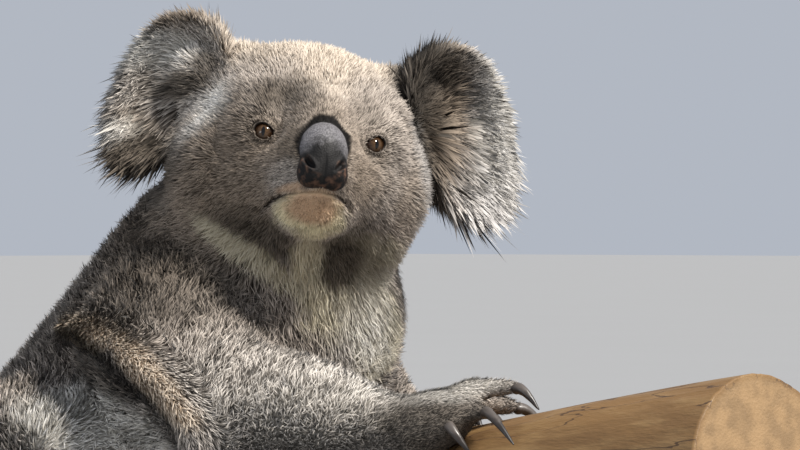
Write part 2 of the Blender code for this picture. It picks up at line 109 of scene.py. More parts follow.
# how the hair lies; in mm, the coat's depth and the tuft's length and width; and tufts to a square cm.
# Where no lie is given, the hair points along the limb. The head's coat goes by place instead.
COAT = {
    "trunk": ((0.20, 0.0, 0.60), 9.5, 11.0, 0.81, 60),
    "neck": ((0.15, 0.0, -1.00), 8.0, 16.0, 0.80, 95),
    "upper_arm": ((0.30, 0.05, 0.90), 8.5, 9.5, 0.70, 116),
    "forearm": ((0.40, 0.05, 0.80), 6.5, 8.0, 0.66, 122),
    "hand": (None, 1.5, 5.0, 0.56, 150),
    "thigh": ((0.30, 0.0, 0.60), 9.5, 11.0, 0.81, 60),
    "shank": (None, 6.0, 10.0, 0.76, 76),
    "foot": (None, 1.7, 5.5, 0.64, 84),
}
NO_ROW = (None, 0.0, 0.0, 0.0, 0)
LIMB_ENDS = {"hand": "claw_hand_{}_3", "shank": "foot_{}", "foot": "claw_foot_{}_3"}
# the line between the lips: x and z in the head
MOUTH = ((-0.0208, -0.0314), (-0.0175, -0.0286), (-0.0141, -0.0271), (-0.0050, -0.0255),
         (0.0038, -0.0249), (0.0123, -0.0255), (0.0160, -0.0272), (0.0182, -0.0298))
# the fold of loose skin from the flank down over the knee
FOLD = ((-0.0506, -0.0763, 0.3848), (-0.0220, -0.0930, 0.3838), (0.0043, -0.1061, 0.3808),
        (0.0243, -0.1140, 0.3772), (0.0423, -0.1201, 0.3730), (0.0560, -0.1225, 0.3680),
        (0.0679, -0.1232, 0.3620), (0.0785, -0.1250, 0.3560), (0.0872, -0.1263, 0.3491),
        (0.0925, -0.1255, 0.3425), (0.0949, -0.1240, 0.3359), (0.0970, -0.1212, 0.3280))
FOLD_REACH = 0.014  # how far from that line the hair is combed along it
SEAL = 0.7 * MM  # the solids swell by this much, so that they meet, and the skin shrinks back


def branch_height(x):
    """Height of the branch's middle line."""
    back = np.maximum(0.0, BEND_X - x)
    return BEND_Z + EASY_SLOPE * (x - BEND_X) - STEEPENING * back * back / 2


def branch_radius(x):
    t = (x - BRANCH_LOW_X) / (BRANCH_HIGH_X - BRANCH_LOW_X)
    return BRANCH_RADIUS * (1.07 - 0.11 * t + 0.02 * np.sin(9.0 * t))


# ---------------------------------------------------------------- arrays


def smooth_step(low, high, value):
    t = np.clip((value - low) / (high - low), 0.0, 1.0)
    return t * t * (3.0 - 2.0 * t)


def peak(value, middle, width):
    """1 where the value is at the middle, fading to 0 on both sides."""
    return np.exp(-(((value - middle) / width) ** 2))


def egg(points, middle, radii):
    """How far out from the middle of an egg shape each point is: 1 at its surface."""
    return np.linalg.norm((points - middle) / radii, axis=1)


def unit(vectors):
    return vectors / np.maximum(np.linalg.norm(vectors, axis=-1, keepdims=True), 1e-12)


def placed(points, matrix):
    m = np.array(matrix)
    return points @ m[:3, :3].T + m[:3, 3]


def arrays_of(mesh):
    """Points and triangles of a mesh."""
    points = np.empty(len(mesh.vertices) * 3, np.float32)
    mesh.vertices.foreach_get("co", points)
    mesh.calc_loop_triangles()
    faces = np.empty(len(mesh.loop_triangles) * 3, np.int32)
    mesh.loop_triangles.foreach_get("vertices", faces)
    return points.reshape(-1, 3).astype(float), faces.reshape(-1, 3)


def node_surface(name):
    """Points and triangles of a solid of the frame, with shared points merged."""
    points, faces = arrays_of(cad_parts[name].data)
    keys = np.round(points * 1e5).astype(np.int64)
    _, first, index = np.unique(keys, axis=0, return_index=True, return_inverse=True)
    return points[first], index.reshape(-1)[faces]


def normals_of(points, faces):
    a, b, c = (points[faces[:, i]] for i in range(3))
    face = np.cross(b - a, c - a)
    total = np.zeros_like(points)
    for i in range(3):
        for axis in range(3):
            total[:, axis] += np.bincount(faces[:, i], face[:, axis], len(points))
    return unit(total)


def edges_of(faces):
    pairs = np.sort(np.concatenate([faces[:, [0, 1]], faces[:, [1, 2]], faces[:, [2, 0]]]), axis=1)
    count = int(faces.max()) + 1
    keys = np.unique(pairs[:, 0].astype(np.int64) * count + pairs[:, 1])
    return np.stack([keys // count, keys % count], 1)


def relaxed(values, edges, rounds, share=1.0):
    """Values at points, evened out with those of their neighbours."""
    count = len(values)
    flat = values.reshape(count, -1).astype(float).copy()
    a, b = edges.T
    degree = np.maximum(np.bincount(a, minlength=count) + np.bincount(b, minlength=count), 1)
    for _ in range(rounds):
        for k in range(flat.shape[1]):
            mean = (np.bincount(a, flat[b, k], count) + np.bincount(b, flat[a, k], count)) / degree
            flat[:, k] += share * (mean - flat[:, k])
    return flat.reshape(values.shape)


def largest_part(points, faces):
    label = np.arange(len(points))
    while True:
        least = np.repeat(label[faces].min(1), 3)
        new = label.copy()
        np.minimum.at(new, faces.ravel(), least)
        new = new[new]
        if (new == label).all():
            break
        label = new
    keep = label == np.bincount(label).argmax()
    index = np.cumsum(keep) - 1
    return points[keep], index[faces[keep[faces[:, 0]]]]


def mesh_from(name, points, faces):
    mesh = bpy.data.meshes.new(name)
    count, corners = faces.shape
    mesh.vertices.add(len(points))
    mesh.vertices.foreach_set("co", np.ascontiguousarray(points, np.float32).ravel())
    mesh.loops.add(count * corners)
    mesh.loops.foreach_set("vertex_index", np.ascontiguousarray(faces, np.int32).ravel())
    mesh.polygons.add(count)
    mesh.polygons.foreach_set("loop_start", np.arange(0, count * corners, corners, dtype=np.int32))
    mesh.update(calc_edges=True)
    return mesh


def helper(name, points, faces):
    obj = bpy.data.objects.new(name, mesh_from(name, points, faces))
    bpy.context.scene.collection.objects.link(obj)
    return obj


def discard(obj):
    mesh = obj.data
    bpy.data.objects.remove(obj, do_unlink=True)
    bpy.data.meshes.remove(mesh)


def changed(points, faces, kind, **settings):
    """Points and triangles of a shape after a modifier."""
    obj = helper("work", points, faces)
    change = obj.modifiers.new("change", kind)
    for key, value in settings.items():
        setattr(change, key, value)
    bpy.context.view_layer.update()
    graph = bpy.context.evaluated_depsgraph_get()
    mesh = bpy.data.meshes.new_from_object(obj.evaluated_get(graph))
    result = arrays_of(mesh)
    bpy.data.meshes.remove(mesh)
    discard(obj)
    return result


def remeshed(points, faces, cell):
    """The outside of overlapping shells, as one even surface."""
    return changed(points, faces, "REMESH", mode="VOXEL", voxel_size=cell)


def joined(parts):
    """Several shapes as one: points and faces."""
    points, faces, start = [], [], 0
    for p, f in parts:
        points.append(p)
        faces.append(f + start)
        start += len(p)
    return np.concatenate(points), np.concatenate(faces)


def between_rings(sizes):
    """Triangles between rings of points. A ring of one point closes an end."""
    faces, low, spokes = [], 0, max(sizes)
    for here, ahead in zip(sizes[:-1], sizes[1:]):
        high = low + here
        for j in range(spokes):
            k = (j + 1) % spokes
            if here == 1:
                faces.append((low, high + j, high + k))
            elif ahead == 1:
                faces.append((low + j, high, low + k))
            else:
                faces += [(low + j, high + j, high + k), (low + j, high + k, low + k)]
        low = high
    return np.array(faces)


def between_rows(rows, count):
    """Four-sided faces between closed rows of points."""
    i = np.arange(count)
    j = (i + 1) % count
    return np.concatenate([np.stack([i, j, j + count, i + count], 1) + row * count
                           for row in range(rows - 1)])


def set_attribute(mesh, name, kind, values):
    field = mesh.attributes.new(name, kind, "POINT")
    key = {"FLOAT": "value", "FLOAT_VECTOR": "vector"}[kind]
    field.data.foreach_set(key, np.ascontiguousarray(values, np.float32).ravel())


def get_attribute(mesh, name, width):
    values = np.empty(len(mesh.vertices) * width, np.float32)
    mesh.attributes[name].data.foreach_get("vector" if width == 3 else "value", values)
    return values.reshape(-1, width).astype(float) if width > 1 else values.astype(float)


def add_piece(name, mesh, slot, *materials):
    """A new piece of the model, which rides on the frame's one body."""
    obj = bpy.data.objects.new(name, mesh)
    bpy.context.scene.collection.objects.link(obj)
    for finish in materials:
        mesh.materials.append(finish)
    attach(obj, "root")
    return obj


def from_branch(points):
    """Distance out from the bark."""
    x = np.linspace(BRANCH_LOW_X - 0.05, BRANCH_HIGH_X + 0.05, 140)
    line = np.stack([x, branch_height(x)], 1)
    reach = branch_radius(x)
    result = np.empty(len(points))
    for start in range(0, len(points), 20000):
        part = points[start:start + 20000]
        flat = np.hypot(part[:, None, 0] - line[None, :, 0], part[:, None, 2] - line[None, :, 1])
        away = np.hypot(flat, part[:, None, 1]) - reach
        result[start:start + 20000] = away.min(1)
    return result


def from_line(points, line):
    """Distance from a line of straight stretches, 1 at most."""
    best = np.full(len(points), 1.0)
    for a, b in zip(line[:-1], line[1:]):
        t = np.clip((points - a) @ (b - a) / ((b - a) @ (b - a)), 0, 1)
        best = np.minimum(best, np.linalg.norm(points - a - t[:, None] * (b - a), axis=1))
    return best


def areas_of(points, faces):
    a, b, c = (points[faces[:, i]] for i in range(3))
    return np.linalg.norm(np.cross(b - a, c - a), axis=1) / 2


def spots_on(weight, count, rng):
    """Even, random places on triangles: which triangle, and the share of each corner."""
    marks = (np.arange(count) + rng.random(count)) * weight.sum() / max(count, 1)
    pick = np.minimum(np.searchsorted(np.cumsum(weight), marks), len(weight) - 1)
    u, v = rng.random((2, count))
    flip = u + v > 1
    u[flip], v[flip] = 1 - u[flip], 1 - v[flip]
    return pick, np.stack([1 - u - v, u, v], 1)


def blended(corners, share):
    """Values at places on triangles, from those at the triangles' corners."""
    return (corners * (share[:, :, None] if corners.ndim == 3 else share)).sum(1)


def finder(points):
    """A search tree for the nearest of the points."""
    tree = KDTree(len(points))
    for i, spot in enumerate(points):
        tree.insert(spot, i)
    tree.balance()
    return tree


def nearest_node(points, names, seed=4):
    """For each point, which of the named solids has the nearest surface."""
    rng = np.random.default_rng(seed)
    spots, tags = [], []
    for tag, name in enumerate(names):
        p, f = node_surface(name)
        a, b, c = (p[f[:, i]] for i in range(3))
        area = areas_of(p, f)
        count = max(120, int(area.sum() / (3.2 * MM) ** 2))
        pick, share = spots_on(area, count, rng)
        spots.append(a[pick] + share[:, 1:2] * (b - a)[pick] + share[:, 2:] * (c - a)[pick])
        tags.append(np.full(count, tag))
    tree, tags = finder(np.concatenate(spots)), np.concatenate(tags)
    return np.array([tags[tree.find(p)[1]] for p in points])


def coat_of(name):
    """The row of the coat table for a solid."""
    return next((row for key, row in COAT.items() if name.startswith(key)), NO_ROW)


def tagged(tags, *starts):
    """Whether each tag is that of a solid whose name starts with one of these."""
    return np.isin(tags, [i for i, n in enumerate(FLESH) if n.startswith(starts)])


# ---------------------------------------------------------------- the skin


def on_ball(tilt, turn):
    return math.sin(tilt) * math.cos(turn), math.sin(tilt) * math.sin(turn), math.cos(tilt)


def ball(centre, radii, rings=12, spokes=20):
    """An egg-shaped shell, in the head's directions."""
    points = [(0.0, 0.0, 1.0)]
    for ring in range(1, rings):
        for spoke in range(spokes):
            points.append(on_ball(math.pi * ring / rings, 2 * math.pi * spoke / spokes))
    points.append((0.0, 0.0, -1.0))
    faces = []
    for j in range(spokes):
        k = (j + 1) % spokes
        faces.append((0, 1 + j, 1 + k))
        for ring in range(rings - 2):
            low = 1 + ring * spokes
            high = low + spokes
            faces += [(low + j, high + j, high + k), (low + j, high + k, low + k)]
        low = 1 + (rings - 2) * spokes
        faces.append((low + j, len(points) - 1, low + k))
    return np.array(points) * radii @ np.array(HEAD)[:3, :3].T + centre, np.array(faces)


def from_fold(points):
    """Distance from the line of the flank's fold."""
    return from_line(points, np.array(FOLD))


def from_muzzle(points):
    """Distance from the middle of the muzzle, in the head."""
    return np.linalg.norm((points - MUZZLE) * (1.0, 0.9, 1.0), axis=1)


def coat_depth(points, tags):
    """Depth of the coat over each point of the outline, in metres."""
    depth = np.array([coat_of(n)[1] for n in FLESH])[tags] * MM
    reach = from_muzzle(placed(points, TO_HEAD))
    head_depth = MM * (1.3 + 6.2 * smooth_step(0.020, 0.064, reach))
    depth = np.where(tagged(tags, *HEAD_PARTS), head_depth, depth)
    depth = depth * (0.30 + 0.70 * smooth_step(0.006, 0.020, from_fold(points)))
    return depth * (0.35 + 0.65 * smooth_step(0.002, 0.020, from_branch(points)))


def eye_frames():
    """Centre, outward, sideways and upward directions of each eye, in the head."""
    frames = {}
    for name, side in SIDES.items():
        low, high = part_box(f"eye_{name}")
        centre = np.array(TO_HEAD @ ((low + high) / 2)) - (side * 0.0015, 0.0, 0.0)
        outward = unit(np.array((side * 0.26, -0.950, 0.03)))
        across = unit(np.cross(outward, (0.0, 0.0, 1.0))) * side
        frames[side] = (centre, outward, across, np.cross(across, outward) * side)
    return frames


def eye_field(points, eye):
    """Distance out along the eye's axis and away from it, how far out in the opening between the
    lids each point is, which is 1 at the opening's edge, and the height above the eye's middle."""
    centre, outward, across, up = eye
    q = points - centre
    x, y = q @ across, q @ up
    # the inner corner, towards the nose, is longer and lower
    lean = y + 0.12 * x
    wide = np.where(x > 0, 0.0060, 0.0050)
    high = np.where(lean > 0, 0.0044, 0.0042) * (1 - 0.35 * smooth_step(0.0, 0.0060, x))
    return q @ outward, np.hypot(x, y), (np.abs(x / wide) ** 2.2 + np.abs(lean / high) ** 2.0) ** 0.48, y


def shape_lids(points, radius=0.0075):
    """Draws the skin over each eyeball and opens it between two lids."""
    for eye in eye_frames().values():
        outward = eye[1]
        along, away, open_at, y = eye_field(points, eye)
        near = (away < 0.0220) & (along > -0.008)
        lid = np.sqrt(np.maximum((radius + 0.0010) ** 2 - away**2, 0.0))
        lid += 0.0005 * peak(open_at, 1.10, 0.14)
        lid -= 0.0007 * peak(open_at, 1.62, 0.16) * smooth_step(-0.001, 0.002, y)
        lid -= 0.0005 * peak(open_at, 1.75, 0.15) * smooth_step(0.001, -0.002, y)
        # the brow and cheek swell up to the lids, so that the eye doesn't stand proud of them
        swell = 0.0074 - 0.62 * np.maximum(away - 0.0055, 0.0) - along
        fade = 0.001 * smooth_step(0.012, 0.022, away)
        swell = along + 0.5 * (swell + np.sqrt(swell**2 + 0.002**2) - fade)
        swell += (along - swell) * smooth_step(0.015, 0.022, away)
        blend = smooth_step(0.0050, 0.0086, away)
        new = (1 - blend) * lid + blend * swell
        new -= 0.0062 * (1 - smooth_step(0.84, 1.0, open_at))
        move = np.where(near, new - along, 0.0)
        points = points + move[:, None] * outward
    return points


def from_mouth(points):
    """Distance from the line of the mouth, across the face, in the head."""
    return np.where(points[:, 1] < -0.030, from_line(points[:, [0, 2]], np.array(MOUTH)), 1.0)


def pad_field(points):
    """How far out from the middle of the nose pad each point is: 1 at the pad's edge."""
    pad = (points - PAD_MIDDLE) @ PAD_TURN
    upper, lower = (0.0134, 0.0150, 0.0166), (0.0134, 0.0150, 0.0212)
    return np.linalg.norm(pad / np.where(pad[:, 2:] > 0, upper, lower), axis=1)


def shape_mouth(points, normals):
    """Draws in the line between the lips and lets the lips swell beside it."""
    away = from_mouth(points)
    groove = -0.0014 * peak(away, 0.0, 0.0009)
    below = smooth_step(0.0, -0.003, points[:, 2] + 0.026)
    lips = 0.0004 * peak(away, 0.0030, 0.0016) * (1 + 0.5 * below)
    return points + normals * (groove + lips)[:, None]


def finer(points, faces, chosen):
    """Splits the chosen triangles into smaller ones."""
    mesh = mesh_from("finer", points, faces)
    work = bmesh.new()
    work.from_mesh(mesh)
    work.faces.ensure_lookup_table()
    picked = {edge for i in np.flatnonzero(chosen) for edge in work.faces[i].edges}
    bmesh.ops.subdivide_edges(work, edges=list(picked), cuts=1, use_grid_fill=True)
    bmesh.ops.triangulate(work, faces=work.faces[:])
    work.to_mesh(mesh)
    work.free()
    result = arrays_of(mesh)
    bpy.data.meshes.remove(mesh)
    return result


def flattened(flow, normals):
    """The part of each direction that lies in the skin."""
    return flow - (flow * normals).sum(1, keepdims=True) * normals


def lie_of_hair(points, normals, tags, edges):
    """Which way the hair lies at each point of the skin."""
    flow = np.zeros_like(points)
    middle = {n: sum(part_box(n), Vector()) / 2 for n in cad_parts}
    for tag, name in enumerate(FLESH):
        if name.startswith(HEAD_PARTS):
            continue
        lie = coat_of(name)[0]
        if lie is None:
            limb, side = name.rsplit("_", 1)
            lie = (middle[LIMB_ENDS[limb].format(side)] - middle[name]).normalized()
        flow[tags == tag] = lie
    trunk, neck = tagged(tags, "trunk"), tagged(tags, "neck")
    flow[trunk, 1] += 5.0 * points[trunk, 1] * (points[trunk, 2] > 0.30)
    flow[neck, 0] += 6.0 * (points[neck, 0] - 0.045)
    flow[neck, 1] += 6.0 * (points[neck, 1] + 0.005)
    line, near = np.array(FOLD), from_fold(points) < FOLD_REACH
    nearest = np.array([np.linalg.norm(line - p, axis=1).argmin() for p in points[near]])
    along = unit(line[np.minimum(nearest + 1, len(line) - 1)] - line[np.maximum(nearest - 1, 0)])
    on_head = tagged(tags, *HEAD_PARTS)
    in_head = placed(points[on_head], TO_HEAD)
    fan = in_head - np.array(NOSE_TIP) + (0.0, 0.020, 0.0)
    fan[:, 2] -= 0.45 * np.maximum(np.abs(in_head[:, 0]) - 0.030, 0.0)
    flow[on_head] = unit(fan) @ np.array(HEAD)[:3, :3].T
    flow = relaxed(unit(flow), edges, 10)
    flow[near] = along
    flow = relaxed(unit(flattened(flow, normals)), edges, 6)
    return unit(flattened(flow, normals))


def coat_sizes(points, tags, edges):
    """Tuft length and width in metres, and tufts to a square metre, at each point."""
    table = np.array([coat_of(n)[2:] for n in FLESH])[tags]
    length, width, many = table[:, 0] * MM, table[:, 1] * MM, table[:, 2] * 1e4
    on_head = tagged(tags, *HEAD_PARTS)
    p = placed(points, TO_HEAD)
    spread = smooth_step(0.016, 0.066, from_muzzle(p))
    length = np.where(on_head, MM * (3.0 + 7.2 * spread), length)
    width = np.where(on_head, MM * (0.42 + 0.28 * spread), width)
    many = np.where(on_head, 1e4 * (560 - 380 * spread**0.6), many)
    fold = 1 - smooth_step(0.007, FOLD_REACH, from_fold(points))
    length = length + MM * 1.0 * fold
    many = many + 4e5 * fold
    chin = 1 - smooth_step(0.7, 1.25, egg(p, (0.001, -0.060, -0.0345), (0.0150, 0.020, 0.0085)))
    length = length * (1 - 0.55 * chin * on_head)
    edge = from_branch(points)
    length = length * (0.55 + 0.45 * smooth_step(0.0, 0.022, edge))
    sizes = relaxed(np.stack([length, width, many], 1), edges, 10)
    bare = smooth_step(0.0009, 0.0022, from_mouth(p))
    for eye in eye_frames().values():
        along, away, open_at, _ = eye_field(p, eye)
        bare = np.where(along > -0.002, bare * smooth_step(1.02, 1.16, open_at), bare)
        sizes[:, 0] *= np.where(along > -0.006, 0.50 + 0.50 * smooth_step(0.005, 0.013, away), 1.0)
    bare = bare * smooth_step(0.88, 0.98, pad_field(p))
    bare[edge < 0.0012] = 0
    return sizes[:, 0], sizes[:, 1], sizes[:, 2] * bare


def mounds():
    """Swellings under the skin, as middles and radii: on the head, at the claws, on the fold."""
    result = [(placed(np.array(spot), HEAD), radii) for spot, radii in (
        ((-0.056, 0.014, 0.040), (0.018, 0.014, 0.024)),
        ((0.060, 0.014, 0.036), (0.018, 0.014, 0.026)),
        ((-0.038, 0.012, 0.048), (0.017, 0.017, 0.018)),
        ((0.044, 0.012, 0.046), (0.016, 0.016, 0.016)),
    )]
    # each toe is full where its claw comes out
    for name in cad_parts:
        if name.startswith("claw_"):
            p, _ = node_surface(name)
            low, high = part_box(name.split("_", 1)[1].rsplit("_", 1)[0])
            heel = np.array((low + high) / 2)
            far = p[np.linalg.norm(p - heel, axis=1).argmax()]
            back = np.linalg.norm(p - far, axis=1)
            root = p[back > 0.72 * back.max()].mean(0)
            for step in (-0.0015, 0.002, 0.0055):
                result.append((root + step * unit(heel - root), (0.0050, 0.0050, 0.0050)))
    line = np.array(FOLD)
    fine = np.linspace(0, len(line) - 1, 34)
    line = np.stack([np.interp(fine, np.arange(len(line)), line[:, k]) for k in range(3)], 1)
    return result + [(spot + (0.0, 0.0010, 0.0005), (0.0086, 0.0090, 0.0086)) for spot in line]


def build_skin(settings):
    """One skin over the body's solids, which lies under the coat: points and triangles."""
    parts = []
    for name in FLESH:
        p, f = node_surface(name)
        parts.append((p + SEAL * normals_of(p, f), f))
    parts += [ball(centre, radii) for centre, radii in mounds()]
    points, faces = largest_part(*remeshed(*joined(parts), settings.first_cell))
    edges = edges_of(faces)
    tags = nearest_node(points, FLESH)
    body = tagged(tags, "trunk", "neck", "upper_arm", "thigh")
    body = relaxed(body * smooth_step(0.008, 0.022, from_fold(points)), edges, 8)[:, None]
    even = relaxed(points, edges, 40, 0.8)
    even += 1.4 * MM * normals_of(even, faces)
    paws = relaxed(tagged(tags, "hand", "foot") * 1.0, edges, 6)[:, None]
    points = relaxed(points, edges, 8, 0.6) * (1 - paws) + relaxed(points, edges, 3, 0.5) * paws
    points = points * (1 - body) + even * body
    points -= SEAL * normals_of(points, faces)
    depth = relaxed(coat_depth(points, tags), edges, 14)
    for _ in range(5):
        points = points - normals_of(points, faces) * depth[:, None] / 5
        points = relaxed(points, edges, 1, 0.5)
    points, faces = largest_part(*remeshed(points, faces, settings.cell))
    points = relaxed(points, edges_of(faces), 3, 0.5)

    # the face gets smaller triangles, and the eyes and mouth smaller ones still
    middle = placed(points[faces].mean(1), TO_HEAD)
    points, faces = finer(points, faces, egg(middle, FACE_MIDDLE, (0.048, 0.036, 0.044)) < 1)
    points = relaxed(points, edges_of(faces), 2, 0.5)
    middle = placed(points[faces].mean(1), TO_HEAD)
    close = from_mouth(middle) < 0.0050
    for centre, outward, _, _ in eye_frames().values():
        close |= np.linalg.norm(middle - centre - 0.006 * outward, axis=1) < 0.0125
    points, faces = finer(points, faces, close)
    front = egg(placed(points, TO_HEAD), FACE_MIDDLE, (0.046, 0.034, 0.042)) < 1
    points = np.where(front[:, None], relaxed(points, edges_of(faces), 4, 0.6), points)

    local = placed(points, TO_HEAD)
    local[:, 1] += 0.0045 * (1 - smooth_step(0.55, 0.92, pad_field(local)))
    local = shape_mouth(local, normals_of(local, faces))
    return placed(shape_lids(local), HEAD), faces


# ---------------------------------------------------------------- finishes


def new_material(name):
    """A material, its node tree and its one shader."""
    finish = bpy.data.materials.new(name)
    finish.use_nodes = True
    tree = finish.node_tree
    tree.nodes.clear()
    shader = tree.nodes.new("ShaderNodeBsdfPrincipled")
    out = tree.nodes.new("ShaderNodeOutputMaterial")
    tree.links.new(shader.outputs["BSDF"], out.inputs["Surface"])
    return finish, tree, shader


def feed(tree, node, inputs):
    """Gives a node its inputs. A socket given as an input is linked."""
    for key, value in inputs.items():
        if isinstance(value, bpy.types.NodeSocket):
            tree.links.new(value, node.inputs[key])
        else:
            node.inputs[key].default_value = value


def put(tree, kind, inputs, **settings):
    """A node with its settings and inputs."""
    node = tree.nodes.new(kind)
    for key, value in settings.items():
        setattr(node, key, value)
    feed(tree, node, inputs)
    return node


def place_in(tree):
    return tree.nodes.new("ShaderNodeTexCoord").outputs["Object"]


def attribute(tree, name, output="Fac"):
    return put(tree, "ShaderNodeAttribute", {}, attribute_name=name).outputs[output]


def rgba(colour, share=1.0):
    return (*(c * share for c in colour), 1.0)


def mixed(tree, factor, first, second, blend="MIX"):
    """The colour between two colours."""
    return put(tree, "ShaderNodeMix", {0: factor, 6: first, 7: second},
               data_type="RGBA", blend_type=blend).outputs[2]


def greyed(tree, colour, share):
    """A colour times a share."""
    grey = put(tree, "ShaderNodeCombineColor", {"Red": share, "Green": share, "Blue": share})
    return mixed(tree, 1.0, colour, grey.outputs[0], "MULTIPLY")


def ramp(tree, value, low, high, start=0.0, end=1.0):
    """A smooth step from start to end as the value goes from low to high."""
    return put(tree, "ShaderNodeMapRange", {
        "Value": value, "From Min": low, "From Max": high, "To Min": start, "To Max": end},
        interpolation_type="SMOOTHSTEP").outputs["Result"]


def maths(tree, operation, *values, **settings):
    return put(tree, "ShaderNodeMath", dict(enumerate(values)), operation=operation, **settings).outputs[0]


def length_of(tree, vector):
    return put(tree, "ShaderNodeVectorMath", {0: vector}, operation="LENGTH").outputs["Value"]


def waves_in(tree, place, scale, **others):
    """A random value by place."""
    return put(tree, "ShaderNodeTexNoise", {"Vector": place, "Scale": scale, **others}).outputs["Fac"]


def stretched(tree, place, scale, slope=0.0):
    """Places drawn out along a piece that may slope."""
    return put(tree, "ShaderNodeMapping", {
        "Vector": place, "Scale": scale, "Rotation": (0.0, slope, 0.0)}).outputs[0]


def bumped(tree, height, strength, distance):
    """The surface's direction over small bumps."""
    return put(tree, "ShaderNodeBump", {
        "Strength": strength, "Distance": distance, "Height": height}).outputs[0]


